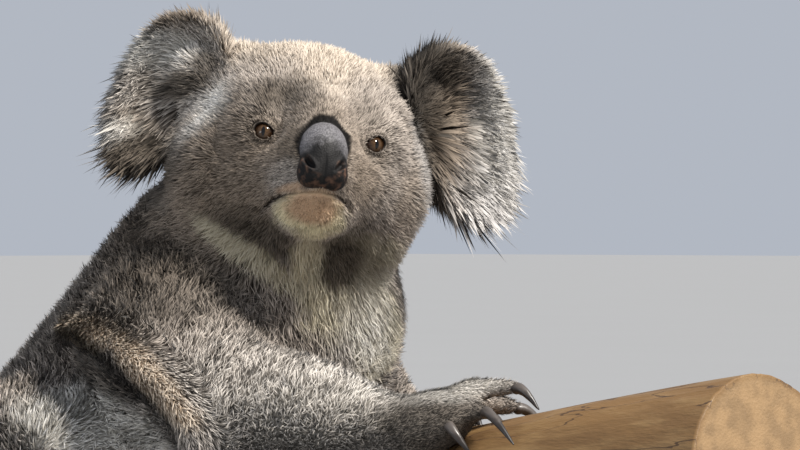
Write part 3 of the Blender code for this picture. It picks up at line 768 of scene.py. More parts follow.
# name of the colour, head, body or chest, centre, half sizes, long direction, softness, strength
MARKINGS = (
    ("cream", "body", (-0.080, 0.000, 0.245), (0.150, 0.060, 0.036), None, 0.35, 0.80),
    ("white", "body", (-0.215, 0.000, 0.235), (0.040, 0.060, 0.045), None, 0.40, 0.75),
    # painted shadow of the head over the upper back and shoulder, in brown and in a deeper tone
    ("brown", "body", (0.010, -0.075, 0.440), (0.070, 0.040, 0.045), None, 0.60, 0.75),
    ("dark_and_shade", "body", (0.035, -0.088, 0.409), (0.048, 0.045, 0.025), (1.0, 0.0, -0.25), 0.38, 0.75),
    # paler fur on the arm, brightened further as painted light on its lit side
    ("pale", "body", (0.130, -0.085, 0.352), (0.070, 0.044, 0.034), (1.0, 0.5, 0.0), 0.50, 1.00),
    ("white", "body", (0.148, -0.085, 0.344), (0.050, 0.044, 0.022), (1.0, 0.5, 0.0), 0.60, 0.25),
    # pale fur of the leg below the fold, whitened further as painted light where the lamp leaves it in shade
    ("white", "body", (0.022, -0.114, 0.334), (0.062, 0.040, 0.020), (1.0, 0.0, -0.25), 0.40, 0.95),
    ("dark_and_shade", "body", (0.197, -0.050, 0.338), (0.036, 0.036, 0.018), None, 0.45, 0.85),
    # pale fur along the tops of the fingers, with a painted highlight on them
    ("white", "body", (0.186, -0.040, 0.3605), (0.036, 0.036, 0.0090), None, 0.45, 0.58),
    # painted shadow under the fold of the flank
    ("dark_and_shade", "body", (0.010, -0.106, 0.361), (0.056, 0.022, 0.007), (1.0, -0.25, -0.14), 0.45, 0.80),
    # sandy fur along the top of the fold, made brighter as painted light on its lit top
    ("sandy", "body", (-0.010, -0.102, 0.3835), (0.052, 0.016, 0.0090), (1.0, -0.45, -0.08), 0.30, 0.95),
    ("sandy", "body", (0.068, -0.126, 0.3615), (0.044, 0.016, 0.0085), (0.80, -0.08, -0.50), 0.30, 0.95),
    ("chest", "chest", (0.101, -0.008, 0.405), (0.031, 0.037, 0.029), None, 0.22, 1.00),
    ("chest", "chest", (0.102, 0.032, 0.380), (0.032, 0.036, 0.034), None, 0.22, 1.00),
    ("white", "chest", (0.106, 0.018, 0.382), (0.028, 0.036, 0.030), None, 0.50, 0.85),
    ("brown", "head", (-0.036, -0.036, -0.014), (0.030, 0.034, 0.036), None, 0.55, 0.80),
    ("brown", "head", (0.006, -0.058, -0.006), (0.026, 0.024, 0.034), None, 0.60, 0.65),
    ("brown", "head", (0.025, -0.050, -0.014), (0.014, 0.022, 0.017), None, 0.60, 0.65),
    # painted shade under the jowls, and over the koala's right lower cheek
    ("dark_and_shade", "head", (-0.024, -0.032, -0.0455), (0.023, 0.030, 0.0105), (1.0, 0.0, -0.40), 0.45, 0.92),
    ("dark_and_shade", "head", (0.036, -0.024, -0.048), (0.024, 0.030, 0.016), None, 0.65, 0.60),
    ("dark_and_shade", "head", (0.022, -0.026, -0.052), (0.012, 0.030, 0.014), None, 0.45, 0.95),
    ("chest", "chest", (0.068, -0.060, 0.4240), (0.042, 0.015, 0.0062), (0.61, 0.57, -0.55), 0.30, 0.80),
    ("cream", "head", (0.000, 0.006, 0.068), (0.062, 0.050, 0.027), None, 0.45, 0.95),
    ("cream", "head", (0.006, -0.040, 0.046), (0.014, 0.030, 0.020), None, 0.60, 0.70),
    ("white", "head", (-0.052, -0.004, 0.018), (0.020, 0.024, 0.0085), (1.0, 0.0, 1.25), 0.45, 1.00),
    ("dark_and_shade", "head", (-0.020, -0.046, 0.028), (0.017, 0.020, 0.010), (1.0, 0.0, 0.3), 0.60, 0.88),
    ("dark_and_shade", "head", (0.026, -0.046, 0.026), (0.009, 0.016, 0.010), None, 0.60, 0.50),
    ("dark_and_shade", "head", (-0.013, -0.062, -0.002), (0.007, 0.014, 0.016), None, 0.60, 0.75),
    ("brown", "head", (0.056, -0.026, -0.020), (0.014, 0.018, 0.018), None, 0.60, 0.60),
    ("pale", "head", (-0.014, -0.062, -0.018), (0.010, 0.012, 0.008), None, 0.50, 0.50),
    ("chest", "head", (0.0045, -0.040, -0.055), (0.0085, 0.030, 0.012), None, 0.30, 1.00),
    ("chin", "head", (0.001, -0.058, -0.0350), (0.0172, 0.022, 0.0108), None, 0.20, 1.00),
    ("lip", "head", (0.001, -0.064, -0.0330), (0.0140, 0.016, 0.0088), None, 0.35, 0.95),
    ("lip", "head", (-0.010, -0.064, -0.0235), (0.008, 0.010, 0.0022), (1.0, 0.0, 0.25), 0.60, 0.70),
    ("pale", "head", (-0.082, 0.014, 0.034), (0.040, 0.040, 0.056), None, 0.30, 0.98),
    ("brown", "head", (-0.074, 0.012, 0.071), (0.024, 0.030, 0.009), None, 0.55, 0.80),
    ("brown", "head", (-0.078, 0.008, 0.013), (0.022, 0.030, 0.011), None, 0.55, 0.60),
    ("dark_and_shade", "head", (-0.079, 0.010, -0.009), (0.027, 0.030, 0.019), None, 0.45, 1.00),
    ("white", "head", (-0.083, 0.006, 0.051), (0.026, 0.028, 0.0095), (1.0, 0.0, 0.15), 0.45, 0.90),
    ("white", "head", (-0.098, 0.010, 0.010), (0.012, 0.030, 0.006), None, 0.60, 0.80),
    # painted shade in the hollow of the right ear
    ("dark_and_shade", "head", (-0.067, 0.004, 0.033), (0.019, 0.030, 0.0080), (1.0, 0.0, 0.25), 0.40, 0.92),
    ("dark_and_shade", "head", (-0.052, 0.006, 0.045), (0.008, 0.020, 0.008), None, 0.45, 0.80),
    ("ash", "head", (0.092, 0.012, 0.022), (0.046, 0.046, 0.060), None, 0.30, 0.90),
    # painted shade inside the left ear, along its lower inner edge and deep in its hollow
    ("dark_and_shade", "head", (0.070, 0.010, 0.012), (0.011, 0.030, 0.028), None, 0.45, 0.95),
    ("dark_and_shade", "head", (0.066, 0.010, 0.046), (0.023, 0.034, 0.032), None, 0.40, 0.95),
    ("brown", "head", (0.081, 0.010, 0.028), (0.016, 0.030, 0.034), None, 0.60, 0.70),
    # painted shade deepest in the left ear's hollow
    ("black_and_shade", "head", (0.060, 0.008, 0.040), (0.014, 0.032, 0.036), None, 0.55, 0.55),
    ("white", "head", (0.109, 0.010, 0.040), (0.016, 0.036, 0.036), None, 0.60, 0.70),
    ("cream", "head", (0.074, 0.012, 0.082), (0.024, 0.028, 0.010), None, 0.60, 0.80),
    ("black_and_shade", "head", (0.0034, -0.064, 0.0002), (0.0142, 0.020, 0.0152), None, 0.07, 1.00),
)


def marking_group(colours):
    """The koala's colours by place, with painted shade and painted light among them: the undercoat and the
    tips of the hair.
    """
    group = bpy.data.node_groups.new("koala markings", "ShaderNodeTree")
    face = group.interface
    face.new_socket("Place", in_out="INPUT", socket_type="NodeSocketVector")
    face.new_socket("Raggedness", in_out="INPUT", socket_type="NodeSocketFloat").default_value = 0.16
    face.new_socket("Chest", in_out="INPUT", socket_type="NodeSocketFloat").default_value = 1.0
    face.new_socket("Undercoat", in_out="OUTPUT", socket_type="NodeSocketColor")
    face.new_socket("Tips", in_out="OUTPUT", socket_type="NodeSocketColor")
    start, end = group.nodes.new("NodeGroupInput"), group.nodes.new("NodeGroupOutput")
    place = start.outputs["Place"]
    head = put(group, "ShaderNodeMapping", {
        "Vector": place, "Location": HEAD.translation, "Rotation": HEAD.to_euler("XYZ")},
        vector_type="TEXTURE").outputs[0]
    rough = maths(group, "SUBTRACT", waves_in(group, place, 95.0, Detail=3.0), 0.5)
    rough = maths(group, "MULTIPLY", rough, start.outputs["Raggedness"])
    rough = maths(group, "MULTIPLY", rough, 4.0)

    broad = ramp(group, waves_in(group, place, 28.0, Detail=2.0), 0.35, 0.65)
    under = mixed(group, broad, rgba(colours.grey_under), rgba(colours.grey_under, 1.4))
    tips = mixed(group, broad, rgba(colours.grey_tips, 0.85), rgba(colours.grey_tips, 1.10))
    for name, space, centre, sizes, direction, soft, strength in MARKINGS:
        turn = (0.0, 0.0, 0.0)
        if direction is not None:
            turn = Vector(direction).to_track_quat("X", "Z").to_euler("XYZ")
        local = put(group, "ShaderNodeMapping", {
            "Vector": head if space == "head" else place,
            "Location": centre, "Rotation": turn, "Scale": sizes}, vector_type="TEXTURE").outputs[0]
        reach = maths(group, "ADD", length_of(group, local), rough)
        mask = ramp(group, reach, 1.0 - soft, 1.0 + soft, strength, 0.0)
        if space == "chest":
            mask = maths(group, "MULTIPLY", mask, start.outputs["Chest"])
        under = mixed(group, mask, under, rgba(getattr(colours, f"{name}_under")))
        tips = mixed(group, mask, tips, rgba(getattr(colours, f"{name}_tips")))
    feed(group, end, {"Undercoat": under, "Tips": tips})


def hair_colour(tree, place, share, chest=1.0):
    """The koala's colour at a place, by the share from the undercoat to the tips."""
    marks = put(tree, "ShaderNodeGroup", {"Place": place, "Chest": chest},
                node_tree=bpy.data.node_groups["koala markings"])
    return mixed(tree, share, marks.outputs["Undercoat"], marks.outputs["Tips"])


def coat_material(name, contrast, dark_share, chest=1.0, gloss=0.22, tip=0.30):
    """Hair: deep-toned at the root and pale at the tip, each tuft a little different."""
    finish, tree, shader = new_material(name)
    tone = attribute(tree, "tone")
    lit = ramp(tree, tone, 0.15, 0.80, 1.0 - 0.85 * contrast, 1.0 + 0.15 * contrast)
    share = maths(tree, "MULTIPLY", ramp(tree, attribute(tree, "along"), tip, 0.92), lit, use_clamp=True)
    colour = hair_colour(tree, attribute(tree, "root", "Vector"), share, chest)
    shade = ramp(tree, tone, 0.0, dark_share + 0.2, 1.0 - 0.55 * contrast, 1.0)
    feed(tree, shader, {"Base Color": greyed(tree, colour, shade), "Roughness": 0.65,
                        "Specular IOR Level": gloss, "Sheen Weight": 0.25 * gloss})
    return finish


def skin_material():
    """Short hair lying flat, over folds, lids and lips."""
    finish, tree, shader = new_material("koala skin")
    place = place_in(tree)
    streaks = waves_in(tree, place, 900.0, Detail=3.0)
    colour = hair_colour(tree, place, ramp(tree, streaks, 0.40, 0.75, 0.10, 0.70))
    # painted shade in the mouth's line, at the lids and in the ear hollows, mixed over the hair colour
    feed(tree, shader, {"Base Color": mixed(tree, attribute(tree, "crease"), colour, SHADE_AND_RIM_COLOUR),
                        "Normal": bumped(tree, streaks, 0.5, 0.0008),
                        "Roughness": 0.7, "Specular IOR Level": 0.3})
    return finish


# ---------------------------------------------------------------- the coat


def unwrapped(points, faces):
    """A flat pattern of a stretch of skin: a place for each corner of each triangle."""
    used, index = np.unique(faces, return_inverse=True)
    obj = helper("pattern", points[used], index.reshape(-1, 3))
    bpy.ops.object.select_all(action="DESELECT")
    bpy.context.view_layer.objects.active = obj
    obj.select_set(True)
    bpy.ops.object.mode_set(mode="EDIT")
    bpy.ops.mesh.select_all(action="SELECT")
    bpy.ops.uv.smart_project(angle_limit=math.radians(70), island_margin=0.004)
    bpy.ops.object.mode_set(mode="OBJECT")
    flat = np.empty(len(obj.data.loops) * 2, np.float32)
    obj.data.uv_layers.active.data.foreach_get("uv", flat)
    discard(obj)
    return flat.reshape(-1, 3, 2).astype(float)


def tuft_mesh(name, root, normal, lie, length, width, rise, tone, spot, shift, rng, bends=(0.42,)):
    """Thin solid tufts: a buried point, pairs of points along a bent back and a tip moved by shift."""
    count = len(root)
    side = unit(np.cross(normal, lie))
    rise = np.minimum(rise, 0.95 * length)
    run = np.sqrt(length**2 - rise**2)
    tip = root + lie * run[:, None] + normal * rise[:, None] + shift
    lean = normal + 0.22 * rng.normal(size=(count, 3))
    places = [0.0, *bends, 1.0]
    points, normals, along, flat = [], [], [], []
    for step, s in enumerate(places):
        up = rise * (1 - (1 - s) ** 1.25) - TUFT_DENT * (1 - s)
        centre = root + lie * (run * s)[:, None] + normal * up[:, None] + shift * s**1.6
        ends = step in (0, len(places) - 1)
        half = (width * (0.5 if step == 1 else 0.36))[:, None]
        for across in (0.0,) if ends else (1.0, -1.0):
            points.append(centre + side * half * across)
            normals.append(lean + 0.40 * side * across)
            flat.append(spot + TUFT_PATCH * np.array((2 * s - 1, across)))
            along.append(np.full(count, s))
    per = len(points)
    last = per - 1
    if per == 4:
        faces = [(0, 1, 2), (last, 2, 1), (0, last, 1), (0, 2, last)]
    else:
        faces = [(0, 1, 2), (1, 3, 2), (2, 3, 4), (3, last, 4),
                 (0, last, 1), (1, last, 3), (0, 2, last), (2, 4, last)]
    points = np.stack(points, 1)
    faces = np.array(faces)
    a, b, c = (points[:, faces[:, i]] for i in range(3))
    middle = points.mean(1, keepdims=True)
    if (np.cross(b - a, c - a) * (a - middle)).sum() < 0:
        faces = faces[:, ::-1]
    index = (np.arange(count)[:, None, None] * per + faces[None]).reshape(-1, 3)
    mesh = mesh_from(name, points.reshape(-1, 3), index)
    flat = np.stack(flat, 1).reshape(-1, 2)
    layer = mesh.uv_layers.new(name="OFBake")
    layer.data.foreach_set("uv", flat[index.ravel()].astype(np.float32).ravel())
    # the colours of a tuft are those of the place where it shows
    set_attribute(mesh, "root", "FLOAT_VECTOR", np.repeat(root + 0.65 * (tip - root), per, axis=0))
    set_attribute(mesh, "along", "FLOAT", np.stack(along, 1).ravel())
    set_attribute(mesh, "tone", "FLOAT", np.repeat(tone, per))
    normals = unit(np.stack(normals, 1).reshape(-1, 3))
    mesh.normals_split_custom_set_from_vertices(normals.astype(np.float32))
    return mesh


def turned(lie, normal, angle):
    side = np.cross(normal, lie)
    return lie * np.cos(angle)[:, None] + side * np.sin(angle)[:, None]


def waves(points, size, seed):
    """A smooth random value from -1 to 1 at each point, with waves of about that size."""
    rng = np.random.default_rng(seed)
    total = np.zeros(len(points))
    for _ in range(7):
        direction = unit(rng.normal(size=3))
        pace = 2 * math.pi / (size * rng.uniform(0.6, 1.6))
        total += np.sin(points @ direction * pace + rng.uniform(0, 7))
    return total / 3.2


def swayed(root, normal, lie, length, rise, every, lock, curl, rng):
    """How far each tip moves: towards the tip of its lock, and at random to one side."""
    count = len(root)
    tip = root + lie * length[:, None] + normal * rise[:, None]
    seeds = rng.choice(count, max(1, count // every), replace=False)
    tree = finder(root[seeds])
    owner = seeds[[tree.find(p)[1] for p in root]]
    aside = np.cross(normal, lie) * (length * rng.normal(0, curl, count))[:, None]
    return lock * (tip[owner] - tip) + aside


def lay_coat(name, chosen, seed, finish, stray=0.85, lock=0.14, curl=0.26):
    """Lays tufts over the chosen triangles of the skin, as one piece."""
    skin = bpy.data.objects["skin"].data
    points, faces = arrays_of(skin)
    fields = {key: get_attribute(skin, key, width) for key, width in
              (("lie", 3), ("tuft", 3), ("cover", 1), ("outward", 3))}
    faces = faces[chosen(points[faces].mean(1), get_attribute(skin, "node", 1)[faces[:, 0]])]
    rng = np.random.default_rng(seed)
    weight = areas_of(points, faces) * fields["tuft"][:, 2][faces].mean(1)
    weight *= bpy.context.scene.koala_coat.thickness * 1.0
    pick, share = spots_on(weight, int(weight.sum()), rng)
    spot = blended(unwrapped(points, faces)[pick], share)
    at = faces[pick]
    root, lie = blended(points[at], share), blended(fields["lie"][at], share)
    normal = unit(blended(fields["outward"][at], share))
    lie = unit(lie - (lie * normal).sum(1, keepdims=True) * normal)
    length, width, _ = blended(fields["tuft"][at], share).T
    cover = blended(fields["cover"][at], share)
    count = len(root)
    angle = stray * np.clip((cover / 0.0085) ** 1.5, 0.20, 1.0) * (
        0.8 * waves(root, 0.016, seed + 1) + 0.7 * waves(root, 0.005, seed + 2) + rng.normal(0, 0.8, count))
    angle *= 0.30 + 0.70 * smooth_step(0.007, 0.017, from_fold(root))  # combed along the flank's fold
    lie = turned(lie, normal, angle)
    length = length * rng.uniform(0.74, 1.18, count)
    rise = cover * (0.95 + 0.12 * waves(root, 0.007, seed + 3)) * rng.uniform(0.66, 1.10, count)
    tone = np.clip(0.5 + 0.20 * waves(root, 0.0045, seed + 4) + rng.normal(0, 0.25, count), 0, 1)
    shift = swayed(root, normal, lie, length, rise, 8, lock, curl, rng)
    width = width * rng.uniform(0.75, 1.25, count)
    mesh = tuft_mesh(name, root, normal, lie, length, width, rise, tone, spot, shift, rng)
    return add_piece(name, mesh, "fur", finish)


# ---------------------------------------------------------------- ears


def ear_frame(side):
    middle = (side * 0.074 + EAR_SHIFT[side], 0.016, 0.030 + EAR_LIFT[side])
    return (HEAD @ Matrix.Translation(middle) @ Matrix.Rotation(math.radians(side * 24.0), 4, "Z")
            @ Matrix.Rotation(math.radians(side * -20.0), 4, "Y"))


def ear_shell(side, settings):
    """The leaf of an ear, hollow in front: points, faces, share out to the rim, and front."""
    size = EAR_SIZE[side]
    rings, spokes = 15, 56
    turn = np.arange(spokes) * 2 * math.pi / spokes
    points, share, front = [], [], []
    for face in (1, 0):
        for ring in range(rings + 1):
            r = ring / rings if face else 1 - ring / rings
            if face == 0 and ring == 0:
                continue
            count = 1 if r == 0 else spokes
            t = turn if count > 1 else np.zeros(1)
            wide = np.where(np.cos(t) > 0, 0.025, 0.031) * size
            x = wide * r * np.cos(t)
            z = (np.where(np.sin(t) > 0, 0.035, 0.041) * r * np.sin(t)) * size
            thick = 0.0 if face else 0.0018 + 0.003 * (1 - r * r)
            y = settings.ear_hollow * (1 - r * r) - 0.004 * r**4 + thick
            y = y + 0.0012 * np.sin(3 * t + 1) * r
            points.append(np.stack([side * x, y, z], 1))
            share.append(np.full(count, r))
            front.append(np.full(count, float(face)))
    faces = between_rings([len(p) for p in points])
    if side < 0:
        faces = faces[:, ::-1]
    return np.concatenate(points), faces, np.concatenate(share), np.concatenate(front)


def lay_ear_coat(name, side, points, faces, share, front, finish, settings, seed):
    """Long hair fanning out from the base of the ear to the tips that the solid gives."""
    rng = np.random.default_rng(seed)
    size = EAR_SIZE[side]
    normals = normals_of(points, faces)
    weight = areas_of(points, faces) * 1e6 * (1.5 + 1.9 * share[faces].mean(1) ** 2)
    weight *= settings.thickness * 1.0
    pick, corner = spots_on(weight, int(weight.sum()), rng)
    spot = blended(unwrapped(points, faces)[pick], corner)
    at = faces[pick]
    root, normal = blended(points[at], corner), unit(blended(normals[at], corner))
    out, ahead = blended(share[at], corner), blended(front[at], corner) > 0.5
    count = len(root)
    base = np.array((side * -0.024, 0.006, 0.006 if side < 0 else -0.004)) * size
    fan = unit(root - base)
    fan[:, 2] -= 0.25 * smooth_step(-0.2, 1.0, -fan[:, 2] + 0.6)
    fan[:, 1] += np.where(ahead, -0.20, 0.16)
    angle = 0.20 * waves(root, 0.020, seed + 1) + 0.20 * waves(root, 0.006, seed + 2)
    angle = angle + rng.normal(0, 0.20, count)
    lie = turned(unit(fan), normal, angle)
    lie = unit(lie - 0.85 * (lie * normal).sum(1, keepdims=True) * normal)
    place = ear_frame(side)
    turn = np.array(place)[:3, :3]
    world = placed(root, place)
    lie, normal = lie @ turn.T, normal @ turn.T
    solid = BVHTree.FromPolygons(*[part.tolist() for part in node_surface(name.removeprefix("coat_"))])
    reach = np.array([(solid.ray_cast(Vector(p), Vector(d))[3] or 0.012) for p, d in zip(world, lie)])
    most = 0.010 + np.where(ahead, 0.026, 0.014) * out if side > 0 else 0.016 + 0.018 * out
    length = np.clip(reach * rng.uniform(0.75, 1.15, count), 0.008, most) * rng.uniform(0.75, 1.10, count)
    wisp = rng.random(count) < 0.10
    length = np.where(wisp, 1.35 * length, length)
    rise = 0.0065 * rng.uniform(0.3, 1.4, count)
    tone = np.clip(0.5 + 0.22 * waves(root, 0.006, seed + 4) + rng.normal(0, 0.22, count), 0, 1)
    shift = swayed(world, normal, lie, length, rise, 12, 0.20, 0.12, rng)
    droop = settings.ear_droop * (0.5 if side < 0 else 1.0)
    shift[:, 2] -= droop * length * np.linalg.norm(lie[:, :2], axis=1)
    width = 0.40 * MM * rng.uniform(0.6, 1.3, count) * np.where(wisp, 0.55, 1.0)
    mesh = tuft_mesh(name, world, normal, lie, length, width, rise, tone, spot, shift, rng, (0.25, 0.62))
    return add_piece(name, mesh, "ear_fur", finish)


# ---------------------------------------------------------------- eyes, nose and claws


def eye_mesh(side):
    """An eyeball with a bulging cornea, with each point's direction from its middle kept."""
    centre, outward, across, up = eye_frames()[side]
    rings, spokes = 40, 56
    sizes = [1, *[spokes] * (rings - 1), 1]
    points, ways = [], []
    for ring, count in enumerate(sizes):
        tilt = math.pi * ring / rings
        for spoke in range(count):
            way = np.array(on_ball(tilt, 2 * math.pi * spoke / spokes))
            bulge = CORNEA_BULGE * (1 - smooth_step(0.0, 0.66, tilt))
            points.append(centre + (EYE_RADIUS + bulge) * (way[0] * across + way[1] * up + way[2] * outward))
            ways.append(way)
    faces = between_rings(sizes)
    if np.dot(np.cross(across, up), outward) < 0:
        faces = faces[:, ::-1]
    mesh = mesh_from(f"eyeball_{side}", placed(np.array(points), HEAD), faces)
    set_attribute(mesh, "way", "FLOAT_VECTOR", np.array(ways))
    return mesh


def eye_material(colours):
    """A brown iris with fine rays round an upright pupil, under a wet cornea."""
    finish, tree, shader = new_material("koala eye")
    way = attribute(tree, "way", "Vector")
    part = put(tree, "ShaderNodeSeparateXYZ", {"Vector": way}).outputs
    away = put(tree, "ShaderNodeVectorMath", {0: way, 1: (1.0, 1.0, 0.0)}, operation="MULTIPLY").outputs[0]
    radius = length_of(tree, away)
    ray = put(tree, "ShaderNodeVectorMath", {0: away}, operation="NORMALIZE").outputs[0]
    grain = ramp(tree, waves_in(tree, ray, 9.0, Detail=4.0), 0.35, 0.65, 0.62, 1.25)
    iris = mixed(tree, ramp(tree, radius, 0.18, 0.60), rgba(colours.iris), rgba(colours.iris_rim))
    iris = mixed(tree, ramp(tree, radius, 0.60, 0.68), greyed(tree, iris, grain), SHADE_AND_RIM_COLOUR)
    slit = put(tree, "ShaderNodeCombineXYZ", {"X": part["X"], "Y": part["Y"]}).outputs[0]
    slit = put(tree, "ShaderNodeVectorMath", {0: slit, 1: (0.13, 0.34, 1.0)}, operation="DIVIDE").outputs[0]
    pupil = ramp(tree, length_of(tree, slit), 0.82, 1.08, 1.0, 0.0)
    pupil = maths(tree, "MULTIPLY", pupil, ramp(tree, part["Z"], 0.0, 0.1))
    feed(tree, shader, {"Base Color": mixed(tree, pupil, iris, (0.002, 0.002, 0.002, 1.0)),
                        "Roughness": 0.40, "Specular IOR Level": 0.0,
                        "Coat Weight": 1.0, "Coat Roughness": 0.02})
    return finish


def build_nose():
    """The nose pad with its nostrils: points, faces, height up the pad, raised on the pad's upper sides for a
    painted highlight, nostril, and places in the pad.
    """
    points, faces = node_surface("nose")
    points, faces = remeshed(points, faces, 0.7 * MM)
    edges = edges_of(faces)
    points = relaxed(points, edges, 12, 0.6)
    points += 0.35 * MM * normals_of(points, faces)
    local = (placed(points, TO_HEAD) - PAD_MIDDLE) @ PAD_TURN
    local[:, 0] *= 0.92
    local[:, 2] *= np.where(local[:, 2] > 0, 0.76, 1.0)
    hole = np.zeros(len(points))
    for side in (-1, 1):
        q = local - (side * 0.0082, -0.0085, -0.0125)
        q = q @ np.array(Matrix.Rotation(math.radians(side * 32.0), 3, "Y"))
        q[:, 0] += side * 26.0 * q[:, 2] ** 2
        slot = egg(q, 0.0, (0.0019, 0.0090, 0.0052))
        hole = np.maximum(hole, 1 - smooth_step(0.55, 1.05, slot))
        local += peak(slot, 1.25, 0.28)[:, None] * np.array((side * 0.0005, -0.0005, 0.0))
        local[:, 0] -= side * 0.0010 * (1 - smooth_step(0.45, 1.05, slot))
        local[:, 1] += 0.0030 * (1 - smooth_step(0.40, 1.00, slot))
    groove = peak(local[:, 0], 0.0, 0.0007) * smooth_step(-0.006, -0.014, local[:, 2])
    local[:, 1] += 0.0008 * (groove * (local[:, 1] < 0))
    points = placed(local @ PAD_TURN.T + PAD_MIDDLE, HEAD)
    points = relaxed(points, edges, 1, 0.3)
    height = (local[:, 2] + 0.021) / 0.038
    # the pad's sides, from the middle up, count as higher so they take the paler colour: a painted highlight
    wing_highlight = 0.16 * smooth_step(0.004, 0.012, np.abs(local[:, 0]))
    height += wing_highlight * smooth_step(-0.012, -0.004, local[:, 2])
    return points, faces, height, hole, local


def nose_material(colours):
    """Bare, pebbled skin, very deep in tone below and grey above; the grey top is partly the pad's own grey
    and partly a painted highlight, and the pad's upper sides take it as a painted highlight too.
    """
    finish, tree, shader = new_material("koala nose")
    place = place_in(tree)
    height, hole, rim = (attribute(tree, name) for name in ("height", "nostril", "rim"))
    cells = put(tree, "ShaderNodeTexVoronoi", {"Vector": place, "Scale": 1150.0}).outputs["Distance"]
    mottle = waves_in(tree, place, 260.0, Detail=4.0)
    climb = maths(tree, "MULTIPLY_ADD", mottle, 0.30, height)
    # the paler upper colour is partly the pad's own grey and partly a painted highlight from above
    colour = mixed(tree, ramp(tree, climb, 0.57, 0.86), rgba(colours.nose_low), rgba(colours.nose_top_and_highlight))
    colour = greyed(tree, colour, ramp(tree, cells, 0.10, 0.75, 1.0, 0.45))
    speck = maths(tree, "MULTIPLY", ramp(tree, mottle, 0.44, 0.72), rim)
    colour = mixed(tree, speck, colour, rgba(colours.nostril_rim))
    bumps = maths(tree, "MULTIPLY_ADD", mottle, 0.8, cells)
    feed(tree, shader, {"Base Color": mixed(tree, hole, colour, (0.004, 0.003, 0.003, 1.0)),
                        "Normal": bumped(tree, bumps, 0.35, 0.0005),
                        "Roughness": ramp(tree, climb, 0.35, 0.85, 0.72, 0.46),
                        "Specular IOR Level": 0.32})
    return finish


def claw_mesh(paw):
    """The claws of one paw, rounded, with how far each point is from the toe."""
    names = sorted(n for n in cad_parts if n.startswith(f"claw_{paw}_"))
    low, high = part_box(paw)
    heel = np.array((low + high) / 2)
    parts, along, across = [], [], []
    for name in names:
        p, f = changed(*node_surface(name), "SUBSURF", levels=3, render_levels=3)
        far = p[np.linalg.norm(p - heel, axis=1).argmax()]
        back = np.linalg.norm(p - far, axis=1)
        p = p + (MM * (0.15 + 0.55 * back / back.max()))[:, None] * normals_of(p, f)
        parts.append((p, f))
        along.append(1 - back / back.max())
        # how far up each point sits on its claw, which places the painted highlight along the top
        across.append((p - p.mean(0)) @ np.array((0.3, 0.2, 0.93)) / 0.004)
    mesh = mesh_from(f"claws_{paw}", *joined(parts))
    set_attribute(mesh, "along", "FLOAT", np.concatenate(along))
    set_attribute(mesh, "ridge", "FLOAT", np.concatenate(across))
    return mesh, names


def claw_material(colours):
    """Deep-toned horn, with a painted highlight along its back."""
    finish, tree, shader = new_material("koala claw")
    grain = waves_in(tree, place_in(tree), 420.0, Detail=3.0)
    along = ramp(tree, attribute(tree, "along"), 0.15, 0.95)
    colour = mixed(tree, along, rgba(colours.claw_root), rgba(colours.claw_tip))
    # a painted highlight along the top of each claw, broken up by the grain
    top = maths(tree, "MULTIPLY_ADD", grain, 0.5, attribute(tree, "ridge"))
    colour = mixed(tree, ramp(tree, top, 0.35, 1.0, 0.0, 0.55), colour, rgba(colours.claw_ridge_highlight))
    feed(tree, shader, {"Base Color": colour, "Normal": bumped(tree, grain, 0.25, 0.0003),
                        "Roughness": ramp(tree, grain, 0.3, 0.7, 0.34, 0.50),
                        "Coat Weight": 0.12, "Coat Roughness": 0.20})
    return finish


# ---------------------------------------------------------------- branch and stand


